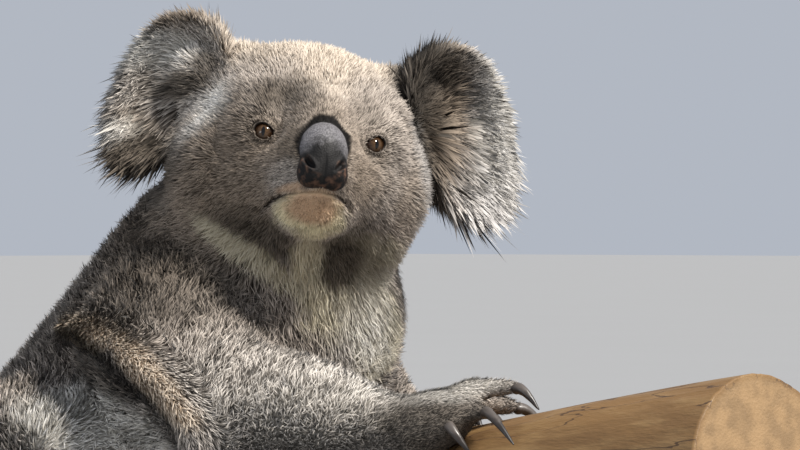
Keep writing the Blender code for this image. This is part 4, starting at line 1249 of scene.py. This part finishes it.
def branch_mesh():
    """The limb with its swellings, furrows and knots, and the grain of its sawn ends."""
    along, round_it = 300, 168
    x = np.linspace(BRANCH_LOW_X, BRANCH_HIGH_X, along)
    angle = np.arange(round_it) * 2 * math.pi / round_it
    slope = (branch_height(x + 0.001) - branch_height(x - 0.001)) / 0.002
    top = unit(np.stack([-slope, np.zeros(along), np.ones(along)], 1))
    side = np.array((0.0, 1.0, 0.0))
    outward = top[:, None] * np.cos(angle)[None, :, None] + side * np.sin(angle)[None, :, None]
    centre = np.stack([x, np.zeros(along), branch_height(x)], 1)
    lift = np.zeros((along, round_it))
    for i in range(along):
        for j in range(round_it):
            c, s = math.cos(angle[j]), math.sin(angle[j])
            long_way = Vector((x[i] * 7.0, c * 2.6, s * 2.6))
            fine = Vector((x[i] * 22.0, c * 13.0, s * 13.0))
            lift[i, j] = 0.0011 * noise.noise(long_way) + 0.00055 * noise.noise(fine)
    for spot, turn, size, high in KNOTS:
        around = np.angle(np.exp(1j * (angle[None] - turn))) * BRANCH_RADIUS / size
        away = np.hypot((x[:, None] - spot) / size, around)
        lift += high * np.exp(-(away**2)) - 0.8 * high * np.exp(-((away / 0.45) ** 2))
    lift = np.where(lift > 0.0016, 0.0016 + 0.35 * (lift - 0.0016), lift)
    points = centre[:, None] + outward * (branch_radius(x)[:, None] + lift)[:, :, None]
    points = [points.reshape(-1, 3)]
    end = [np.zeros(along * round_it)]
    i = (np.arange(along - 1)[:, None] * round_it + np.arange(round_it)).ravel()
    j = (np.arange(along - 1)[:, None] * round_it + (np.arange(round_it) + 1) % round_it).ravel()
    faces = [np.stack([i, j, j + round_it], 1), np.stack([i, j + round_it, i + round_it], 1)]
    start = along * round_it
    for edge, flip in ((0, False), (along - 1, True)):
        ring = np.arange(round_it) + edge * round_it
        for share in (0.985, 0.93, 0.75, 0.5, 0.25, 0.02):
            flat = centre[edge] + (points[0][edge * round_it:(edge + 1) * round_it] - centre[edge]) * share
            points.append(flat)
            end.append(np.full(round_it, 1.0 if share < 0.96 else 0.3))
            new = start + np.arange(round_it)
            a, b = ring, np.roll(ring, -1)
            c, d = np.roll(new, -1), new
            pair = np.concatenate([np.stack([a, b, c], 1), np.stack([a, c, d], 1)])
            faces.append(pair if flip else pair[:, ::-1])
            ring = new
            start += round_it
        points.append(points[-1].mean(0, keepdims=True))
        end.append(np.ones(1))
        cap = np.stack([ring, np.roll(ring, -1), np.full(round_it, start)], 1)
        faces.append(cap if flip else cap[:, ::-1])
        start += 1
    points, faces = np.concatenate(points), np.concatenate(faces)
    a, b, c = (points[faces[:, k]] for k in range(3))
    if (np.cross(a, b) * c).sum() < 0:
        faces = faces[:, ::-1]
    mesh = mesh_from("branch", points, faces)
    set_attribute(mesh, "sawn", "FLOAT", np.concatenate(end))
    return mesh


def bark_material(colours):
    """Smooth warm bark with streaks and fine cracks along it, and sawn wood at the ends."""
    finish, tree, shader = new_material("branch bark")
    place = place_in(tree)
    drawn = stretched(tree, place, (1.0, 5.0, 5.0), 0.17)
    streak = waves_in(tree, drawn, 20.0, Detail=5.0, Roughness=0.55)
    broad = ramp(tree, waves_in(tree, drawn, 6.0, Detail=3.0), 0.36, 0.64)
    colour = mixed(tree, broad, rgba(colours.bark_dark), rgba(colours.bark_light))
    colour = mixed(tree, ramp(tree, streak, 0.44, 0.70, 0.0, 0.75), colour, rgba(colours.bark_pale))
    split = waves_in(tree, stretched(tree, place, (1.0, 9.0, 9.0), 0.17), 6.5, Detail=4.0, Roughness=0.45)
    split = maths(tree, "COMPARE", split, 0.52, 0.007)
    for crack in (ramp(tree, split, 0.0, 1.0, 0.0, 0.85), ramp(tree, streak, 0.34, 0.24, 0.0, 0.85)):
        colour = mixed(tree, crack, colour, rgba(colours.bark_crack))
    rings = ramp(tree, waves_in(tree, place, 90.0, Detail=3.0), 0.35, 0.65)
    wood = mixed(tree, rings, rgba(colours.wood), rgba(colours.wood, 0.72))
    height = maths(tree, "MULTIPLY_ADD", streak, 1.4, waves_in(tree, drawn, 150.0, Detail=4.0))
    height = maths(tree, "SUBTRACT", height, split)
    feed(tree, shader, {"Base Color": mixed(tree, attribute(tree, "sawn"), colour, wood),
                        "Normal": bumped(tree, height, 0.45, 0.0010),
                        "Roughness": ramp(tree, streak, 0.3, 0.7, 0.72, 0.50)})
    return finish


def lathe(name, profile, middle, steps=64):
    """A turned piece standing on the line through middle: profile is (radius, height) pairs."""
    turn = np.arange(steps) * 2 * math.pi / steps
    x, y = np.cos(turn), np.sin(turn)
    points = [np.stack([middle[0] + r * x, middle[1] + r * y, np.full(steps, z)], 1) for r, z in profile]
    return mesh_from(name, np.concatenate(points), between_rows(len(profile), steps))


def base_mesh(corner=0.040, soften=0.0035):
    """The board of the stand, with round corners and a rounded upper edge."""
    low, high = (np.array(v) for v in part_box("stand_base"))
    middle, half = (low + high) / 2, (high - low) / 2
    steps = 16
    ring = []
    for sx, sy, first in ((1, 1, 0), (-1, 1, 90), (-1, -1, 180), (1, -1, 270)):
        for k in range(steps + 1):
            a = math.radians(first + 90 * k / steps)
            ring.append(((half[0] - corner) * sx, (half[1] - corner) * sy, math.cos(a), math.sin(a)))
    ring = np.array(ring)
    profile = [(0.0, low[2]), (0.0, high[2] - soften)]
    for a in (22, 45, 68, 90):
        a = math.radians(a)
        profile.append((soften * (1 - math.cos(a)), high[2] - soften * (1 - math.sin(a))))
    rows = []
    for inset, z in profile:
        rows.append(np.stack([middle[0] + ring[:, 0] + (corner - inset) * ring[:, 2],
                              middle[1] + ring[:, 1] + (corner - inset) * ring[:, 3],
                              np.full(len(ring), z)], 1))
    edge = rows[-1]
    for share in (0.9, 0.6, 0.3, 0.02):
        rows.append(middle * (1 - share) + edge * share)
        rows[-1][:, 2] = high[2]
    for share in (0.6, 0.02):
        under = middle * (1 - share) + rows[0] * share
        under[:, 2] = low[2]
        rows.insert(0, under)
    return mesh_from("base_board", np.concatenate(rows), between_rows(len(rows), len(ring)))


def board_material(colours):
    finish, tree, shader = new_material("stand board")
    drawn = stretched(tree, place_in(tree), (1.0, 9.0, 9.0))
    grain = waves_in(tree, drawn, 22.0, Detail=6.0, Distortion=0.6)
    colour = mixed(tree, ramp(tree, grain, 0.36, 0.64), rgba(colours.board), rgba(colours.board, 0.55))
    feed(tree, shader, {"Base Color": colour,
                        "Normal": bumped(tree, waves_in(tree, drawn, 170.0, Detail=2.0), 0.2, 0.0004),
                        "Roughness": ramp(tree, grain, 0.3, 0.7, 0.34, 0.46),
                        "Coat Weight": 0.3, "Coat Roughness": 0.25})
    return finish


def rod_material(colours):
    finish, tree, shader = new_material("stand rod")
    brush = waves_in(tree, stretched(tree, place_in(tree), (1.0, 1.0, 0.04)), 900.0, Detail=3.0)
    feed(tree, shader, {"Base Color": mixed(tree, brush, rgba(colours.rod), rgba(colours.rod, 0.7)),
                        "Roughness": ramp(tree, brush, 0.3, 0.7, 0.28, 0.42), "Metallic": 1.0})
    return finish


# ---------------------------------------------------------------- sizes and colours


def colour_of(name, what, value):
    return FloatVectorProperty(name=name, description=what, subtype="COLOR", size=3,
                               min=0.0, max=1.0, default=value)


class KoalaSkinSettings(PropertyGroup):
    first_cell: FloatProperty(name="First cell",
                              description="Cell of the first surface over the joined solids",
                              default=2.6 * MM, min=1.5 * MM, max=6 * MM, precision=4, unit="LENGTH")
    cell: FloatProperty(name="Skin cell", description="Cell of the finished skin, away from the face",
                        default=2.2 * MM, min=1.5 * MM, max=6 * MM, precision=4, unit="LENGTH")


class KoalaCoatSettings(PropertyGroup):
    thickness: FloatProperty(name="Thickness", description="Share of the full number of tufts",
                             default=1.0, min=0.05, max=1.2, subtype="FACTOR")


class KoalaEarSettings(PropertyGroup):
    thickness: FloatProperty(name="Thickness", description="Share of the full number of tufts on the ears",
                             default=1.0, min=0.05, max=1.5, subtype="FACTOR")
    ear_hollow: FloatProperty(name="Hollow", description="How deep the ear is cupped",
                              default=9.0 * MM, min=0.0, max=20 * MM, precision=4, unit="LENGTH")
    ear_droop: FloatProperty(name="Droop", description="How far the long hair sags, as a share of its length",
                             default=0.22, min=0.0, max=0.8, subtype="FACTOR")


class KoalaColourSettings(PropertyGroup):
    grey_under: colour_of("Grey undercoat", "Roots of the hair over most of the body", (0.070, 0.057, 0.047))
    grey_tips: colour_of("Grey tips", "Tips of the hair over most of the body", (0.620, 0.543, 0.475))
    # this deep colour is both the koala's own deep fur and painted shade: on the shoulder, under the fold and
    # the jowls, and in the ear hollows
    dark_and_shade_under: colour_of("Dark undercoat", "Roots of the dark hair", (0.018, 0.014, 0.010))
    dark_and_shade_tips: colour_of("Dark tips", "Tips of the dark hair", (0.150, 0.124, 0.098))
    # the brown colour is the koala's own brown fur, and also paints the head's shadow on the upper back
    brown_under: colour_of("Brown undercoat", "Roots of the brown hair", (0.048, 0.035, 0.024))
    brown_tips: colour_of("Brown tips", "Tips of the brown hair", (0.360, 0.285, 0.215))
    # the sandy colour is the fold's own fur, made brighter to paint light on its top
    sandy_under: colour_of("Sandy undercoat", "Roots of the sandy hair on the flank", (0.300, 0.210, 0.135))
    sandy_tips: colour_of("Sandy tips", "Tips of the sandy hair on the flank", (0.950, 0.800, 0.630))
    # the pale colour is the koala's own pale fur, and also paints light on the arm
    pale_under: colour_of("Pale undercoat", "Roots of the pale grey hair", (0.095, 0.082, 0.070))
    pale_tips: colour_of("Pale tips", "Tips of the pale grey hair", (0.785, 0.722, 0.655))
    ash_under: colour_of("Ash undercoat", "Roots of the long hair of the far ear", (0.105, 0.100, 0.096))
    ash_tips: colour_of("Ash tips", "Tips of the long hair of the far ear", (0.720, 0.702, 0.690))
    cream_under: colour_of("Cream undercoat", "Roots of the cream hair", (0.170, 0.125, 0.085))
    cream_tips: colour_of("Cream tips", "Tips of the cream hair", (0.800, 0.690, 0.570))
    # the white colour is the koala's own white fur, and also paints light on the leg, the arm and the
    # fingers' tops
    white_under: colour_of("White undercoat", "Roots of the white hair", (0.540, 0.510, 0.450))
    white_tips: colour_of("White tips", "Tips of the white hair", (0.930, 0.905, 0.860))
    chest_under: colour_of("Chest undercoat", "Roots of the soft hair on the throat and chest",
                           (0.570, 0.500, 0.345))
    chest_tips: colour_of("Chest tips", "Tips of the soft hair on the throat and chest",
                          (0.670, 0.612, 0.470))
    chin_under: colour_of("Chin undercoat", "Roots of the soft hair round the chin", (0.800, 0.680, 0.410))
    chin_tips: colour_of("Chin tips", "Tips of the soft hair round the chin", (0.990, 0.900, 0.620))
    lip_under: colour_of("Lip", "Bare skin of the lips and chin", (0.620, 0.385, 0.235))
    lip_tips: colour_of("Lip down", "Fine hair on the lips and chin", (0.760, 0.530, 0.345))
    # this deepest colour is the koala's own fur round the nose, and painted shade inside the left ear
    black_and_shade_under: colour_of("Black undercoat", "Roots of the hair round the nose", (0.004, 0.003, 0.003))
    black_and_shade_tips: colour_of("Black tips", "Tips of the hair round the nose", (0.007, 0.006, 0.005))
    iris: colour_of("Iris", "Colour of the iris beside the pupil", (0.088, 0.046, 0.018))
    iris_rim: colour_of("Iris rim", "Colour of the outside of the iris", (0.022, 0.010, 0.005))
    # the upper nose colour is partly the pad's own grey and partly a painted highlight
    nose_top_and_highlight: colour_of("Upper nose", "Top of the nose pad", (0.235, 0.226, 0.238))
    nose_low: colour_of("Lower nose", "Foot of the nose pad", (0.006, 0.005, 0.005))
    nostril_rim: colour_of("Nostril rim", "Mottled skin round the nostrils", (0.125, 0.066, 0.042))
    claw_root: colour_of("Claw root", "Claws beside the toe", (0.042, 0.031, 0.025))
    claw_tip: colour_of("Claw tip", "Claws at the point", (0.014, 0.011, 0.010))
    # the claw ridge colour is a painted highlight along the top of each claw
    claw_ridge_highlight: colour_of("Claw ridge", "Worn back of the claws", (0.140, 0.122, 0.110))
    bark_light: colour_of("Light bark", "Warm bark of the branch", (0.215, 0.118, 0.042))
    bark_dark: colour_of("Dark bark", "Darker bark of the branch", (0.150, 0.080, 0.029))
    bark_pale: colour_of("Pale bark", "Dry streaks along the branch", (0.300, 0.185, 0.078))
    bark_crack: colour_of("Cracks", "Cracks along the branch", (0.060, 0.030, 0.014))
    wood: colour_of("Sawn wood", "Sawn ends of the branch", (0.340, 0.215, 0.105))
    board: colour_of("Board", "Stained board of the stand", (0.055, 0.032, 0.020))
    rod: colour_of("Rods", "Brushed metal of the rods", (0.560, 0.545, 0.520))


class KoalaStageSettings(PropertyGroup):
    floor: colour_of("Floor", "Colour of the plain floor", (0.295, 0.300, 0.308))
    key_light: FloatProperty(name="Key light",
                             description="Strength of the broad light over the koala's left",
                             default=5.5, min=0.0, max=50.0)
    room_light: FloatProperty(name="Room light", description="Strength of the even light from all round",
                              default=0.48, min=0.0, max=2.0)
    fill_light: FloatProperty(name="Fill light", description="Strength of the weak light from the other side",
                              default=0.37, min=0.0, max=50.0)


SETTINGS = {
    "koala_skin": KoalaSkinSettings,
    "koala_coat": KoalaCoatSettings,
    "koala_ears": KoalaEarSettings,
    "koala_colours": KoalaColourSettings,
    "koala_stage": KoalaStageSettings,
}


# ---------------------------------------------------------------- operators


class KOALA_OT_skin(Operator):
    """Covers the solids of the body with one skin and shapes the face"""

    bl_idname = "koala.skin"
    bl_label = "Skin"

    def execute(self, context):
        points, faces = build_skin(context.scene.koala_skin)
        edges = edges_of(faces)
        outward = normals_of(points, faces)
        tags = nearest_node(points, FLESH)
        local = placed(points, TO_HEAD)
        length, width, many = coat_sizes(points, tags, edges)
        cover = relaxed(coat_depth(points, tags), edges, 14)
        # painted shade along the line of the mouth, deeper towards its corners; round each eye the lid's own
        # deep rim, with painted shade making it fuller along the upper lid
        corner = smooth_step(0.011, 0.017, np.abs(local[:, 0] - 0.001))
        crease = peak(from_mouth(local), 0.0, 0.0009) * (0.45 + 0.5 * corner)
        for eye in eye_frames().values():
            along, _, open_at, y = eye_field(local, eye)
            rim = (along > 0.0) * (1 - smooth_step(1.02, 1.14, open_at)) * (0.55 + 0.45 * (y > 0))
            crease = np.maximum(crease, rim)
        mesh = mesh_from("skin", points, faces)
        set_attribute(mesh, "outward", "FLOAT_VECTOR", relaxed(outward, edges, 3))
        set_attribute(mesh, "lie", "FLOAT_VECTOR", lie_of_hair(points, outward, tags, edges))
        set_attribute(mesh, "tuft", "FLOAT_VECTOR", np.stack([length, width, many], 1))
        set_attribute(mesh, "cover", "FLOAT", cover)
        set_attribute(mesh, "crease", "FLOAT", crease)
        set_attribute(mesh, "node", "FLOAT", tags)
        marking_group(context.scene.koala_colours)
        skin = add_piece("skin", mesh, "fur", skin_material())
        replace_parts(skin, *[n for n in FLESH if not n.startswith(("nose", "eye"))])
        return {"FINISHED"}


class KOALA_OT_coat(Operator):
    """Lays the coat over the skin, a stretch of the body at a time"""

    bl_idname = "koala.coat"
    bl_label = "Coat"

    def execute(self, context):
        long = coat_material("koala coat", 0.92, 0.28, tip=0.36)
        limb = coat_material("koala limb coat", 1.08, 0.28, chest=0.0, tip=0.38)
        short = coat_material("koala short coat", 0.70, 0.25, gloss=0.12)

        def deep(middle):
            return placed(middle, TO_HEAD)[:, 1]

        def lay(name, starts, seed, finish, *habit, where=lambda middle: True):
            lay_coat(f"coat_{name}", lambda m, n: tagged(n, *starts) & where(m), seed, finish, *habit)

        lay("face", HEAD_PARTS, 10, short, 0.50, 0.10, 0.10, where=lambda m: deep(m) < -0.030)
        lay("cheeks", HEAD_PARTS, 20, short, 0.55, 0.12, 0.14,
            where=lambda m: (deep(m) >= -0.030) & (deep(m) < 0.002))
        lay("crown", HEAD_PARTS, 30, short, 0.48, 0.12, 0.16, where=lambda m: deep(m) >= 0.002)
        lay("neck", ("neck",), 40, long, 0.32, 0.14, 0.12)
        lay("shoulders", ("trunk",), 50, long, where=lambda m: m[:, 0] > 0.0)
        lay("back", ("trunk",), 55, long, where=lambda m: (m[:, 0] <= 0.0) & (m[:, 0] > -0.11))
        lay("rump", ("trunk",), 60, long, where=lambda m: m[:, 0] <= -0.11)
        for side, seed in (("right", 70), ("left", 80)):
            lay(f"arm_{side}", (f"upper_arm_{side}", f"forearm_{side}"), seed, limb)
            lay(f"leg_{side}", (f"thigh_{side}", f"shank_{side}"), seed + 100, limb)
        lay("hands", ("hand",), 90, limb, 0.65)
        lay("feet", ("foot",), 95, limb, 0.65)
        return {"FINISHED"}


class KOALA_OT_ears(Operator):
    """Makes the leaves of the ears and their long hair"""

    bl_idname = "koala.ears"
    bl_label = "Ears"

    def execute(self, context):
        settings = context.scene.koala_ears
        finish = coat_material("koala ear coat", 0.66, 0.15, gloss=0.12)
        for name, side in SIDES.items():
            points, faces, share, front = ear_shell(side, settings)
            mesh = mesh_from(f"ear_leaf_{name}", placed(points, ear_frame(side)), faces)
            # painted shade deep in the cup of each ear, fading out toward the rim
            set_attribute(mesh, "crease", "FLOAT", 0.8 * front * (1 - smooth_step(0.1, 0.8, share)))
            leaf = add_piece(f"ear_leaf_{name}", mesh, "ear_fur", bpy.data.materials["koala skin"])
            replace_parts(leaf, f"ear_{name}")
            lay_ear_coat(f"coat_ear_{name}", side, points, faces, share, front, finish, settings, 200 + side)
        return {"FINISHED"}


class KOALA_OT_eyes(Operator):
    """Makes the eyeballs"""

    bl_idname = "koala.eyes"
    bl_label = "Eyes"

    def execute(self, context):
        finish = eye_material(context.scene.koala_colours)
        for name, side in SIDES.items():
            eye = add_piece(f"eyeball_{name}", eye_mesh(side), "eye", finish)
            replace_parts(eye, f"eye_{name}")
        return {"FINISHED"}


class KOALA_OT_nose(Operator):
    """Makes the nose pad and its nostrils"""

    bl_idname = "koala.nose"
    bl_label = "Nose"

    def execute(self, context):
        points, faces, height, hole, local = build_nose()
        mesh = mesh_from("nose_pad", points, faces)
        rim = np.zeros(len(points))
        for side in (-1, 1):
            reach = egg(local, (side * 0.0100, -0.0060, -0.0140), (0.0055, 0.010, 0.0065))
            rim = np.maximum(rim, 1 - smooth_step(0.6, 1.1, reach))
        rim = np.maximum(rim, 1 - smooth_step(0.0, 0.0035, local[:, 2] + 0.0205))
        set_attribute(mesh, "height", "FLOAT", height)
        set_attribute(mesh, "nostril", "FLOAT", hole)
        set_attribute(mesh, "rim", "FLOAT", rim)
        pad = add_piece("nose_pad", mesh, "nose_skin", nose_material(context.scene.koala_colours))
        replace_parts(pad, "nose")
        return {"FINISHED"}


class KOALA_OT_claws(Operator):
    """Makes the claws of the hands and feet"""

    bl_idname = "koala.claws"
    bl_label = "Claws"

    def execute(self, context):
        finish = claw_material(context.scene.koala_colours)
        for limb in ("hand", "foot"):
            for side in SIDES:
                mesh, names = claw_mesh(f"{limb}_{side}")
                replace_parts(add_piece(f"claws_{limb}_{side}", mesh, "claw", finish), *names)
        return {"FINISHED"}


class KOALA_OT_perch(Operator):
    """Makes the cut branch that the koala holds"""

    bl_idname = "koala.perch"
    bl_label = "Branch"

    def execute(self, context):
        piece = add_piece("branch", branch_mesh(), "bark", bark_material(context.scene.koala_colours))
        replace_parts(piece, "perch_branch")
        return {"FINISHED"}


class KOALA_OT_stand(Operator):
    """Makes the board and the two rods of the display stand"""

    bl_idname = "koala.stand"
    bl_label = "Stand"

    def execute(self, context):
        colours = context.scene.koala_colours
        board = add_piece("base_board", base_mesh(), "stand", board_material(colours))
        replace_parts(board, "stand_base")
        finish = rod_material(colours)
        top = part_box("stand_base")[1].z
        for name in ("stand_rod_back", "stand_rod_front"):
            low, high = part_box(name)
            middle, radius = (low + high) / 2, (high.x - low.x) / 2
            profile = ((0.0001, low.z), (radius, low.z), (radius, top), (radius * 2.1, top),
                       (radius * 2.1, top + 0.003), (radius * 1.9, top + 0.004),
                       (radius * 1.15, top + 0.0045), (radius, top + 0.006),
                       (radius, high.z), (0.0001, high.z))
            rod = add_piece(f"{name}_turned", lathe(name, profile, middle), "rod", finish)
            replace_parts(rod, name)
        return {"FINISHED"}


class KOALA_OT_stage(Operator):
    """Sets the floor, the lamps and the camera"""

    bl_idname = "koala.stage"
    bl_label = "Stage"

    def execute(self, context):
        settings = context.scene.koala_stage
        scene = context.scene
        size, steps = 60.0, 24
        line = np.linspace(-size, size, steps + 1)
        x, y = np.meshgrid(line, line)
        points = np.stack([x.ravel(), y.ravel(), np.zeros(x.size)], 1)
        i = (np.arange(steps)[:, None] * (steps + 1) + np.arange(steps)).ravel()
        floor = helper("floor", points, np.stack([i, i + 1, i + steps + 2, i + steps + 1], 1))
        finish, tree, shader = new_material("floor")
        cloud = waves_in(tree, place_in(tree), 1.2)
        colour = mixed(tree, cloud, rgba(settings.floor, 0.97), rgba(settings.floor))
        feed(tree, shader, {"Base Color": colour, "Roughness": 0.8})
        floor.data.materials.append(finish)

        scene.view_settings.view_transform = "Standard"
        world = bpy.data.worlds.new("studio")
        scene.world = world
        world.use_nodes = True
        tree = world.node_tree
        seen = tree.nodes.new("ShaderNodeLightPath").outputs["Is Camera Ray"]
        strength = put(tree, "ShaderNodeMapRange", {
            "Value": seen, "To Min": settings.room_light, "To Max": BACKDROP}).outputs[0]
        feed(tree, tree.nodes["Background"], {"Color": (0.78, 0.84, 0.95, 1.0), "Strength": strength})

        across = Vector((0.70711, 0.70711, 0.0))
        back = Vector((0.70711, -0.70711, 0.0))
        target = across * 0.085 + Vector((0.0, 0.0, 0.438))

        def lamp(name, place, strength, size, colour):
            light = bpy.data.lights.new(name, "SUN")
            light.energy, light.angle, light.color = strength, size, colour
            obj = bpy.data.objects.new(name, light)
            obj.location = place
            obj.rotation_euler = (place - target).to_track_quat("Z", "Y").to_euler()
            obj.visible_camera = False
            scene.collection.objects.link(obj)

        lamp("key_lamp", target + across * 2.53 + back * 1.87 + Vector((0, 0, 3.96)),
             settings.key_light, 0.195, (1.0, 0.955, 0.89))
        lamp("fill_lamp", target - across * 2.4 + back * 2.0 + Vector((0, 0, 0.50)),
             settings.fill_light, 0.38, (0.92, 0.96, 1.0))

        data = bpy.data.cameras.new("camera")
        data.sensor_width = SENSOR
        data.lens = SENSOR * CAMERA_AWAY / VIEW_WIDTH
        data.clip_end = 300.0
        camera = bpy.data.objects.new("camera", data)
        camera.location = target + back * CAMERA_AWAY
        camera.rotation_euler = back.to_track_quat("Z", "Y").to_euler()
        scene.collection.objects.link(camera)
        scene.camera = camera
        return {"FINISHED"}


OPERATORS = (KOALA_OT_skin, KOALA_OT_coat, KOALA_OT_ears, KOALA_OT_eyes, KOALA_OT_nose,
             KOALA_OT_claws, KOALA_OT_perch, KOALA_OT_stand, KOALA_OT_stage)


class KOALA_PT_model(Panel):
    """The pieces of the koala model"""

    bl_label = "Koala"
    bl_idname = "KOALA_PT_model"
    bl_space_type = "VIEW_3D"
    bl_region_type = "UI"
    bl_category = "Koala"

    def draw(self, context):
        layout = self.layout
        for key, group in SETTINGS.items():
            box = layout.box()
            for name in group.__annotations__:
                box.prop(getattr(context.scene, key), name)
        for operator in OPERATORS:
            layout.operator(operator.bl_idname)


CLASSES = (*SETTINGS.values(), *OPERATORS, KOALA_PT_model)


def register():
    for cls in CLASSES:
        bpy.utils.register_class(cls)
    for key, group in SETTINGS.items():
        setattr(bpy.types.Scene, key, PointerProperty(type=group))


def unregister():
    for key in SETTINGS:
        delattr(bpy.types.Scene, key)
    for cls in reversed(CLASSES):
        bpy.utils.unregister_class(cls)


def main():
    register()
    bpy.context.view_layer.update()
    bpy.ops.koala.skin()
    bpy.ops.koala.coat()
    bpy.ops.koala.ears()
    bpy.ops.koala.eyes()
    bpy.ops.koala.nose()
    bpy.ops.koala.claws()
    bpy.ops.koala.perch()
    bpy.ops.koala.stand()
    bpy.ops.koala.stage()


if __name__ == "__main__":
    main()
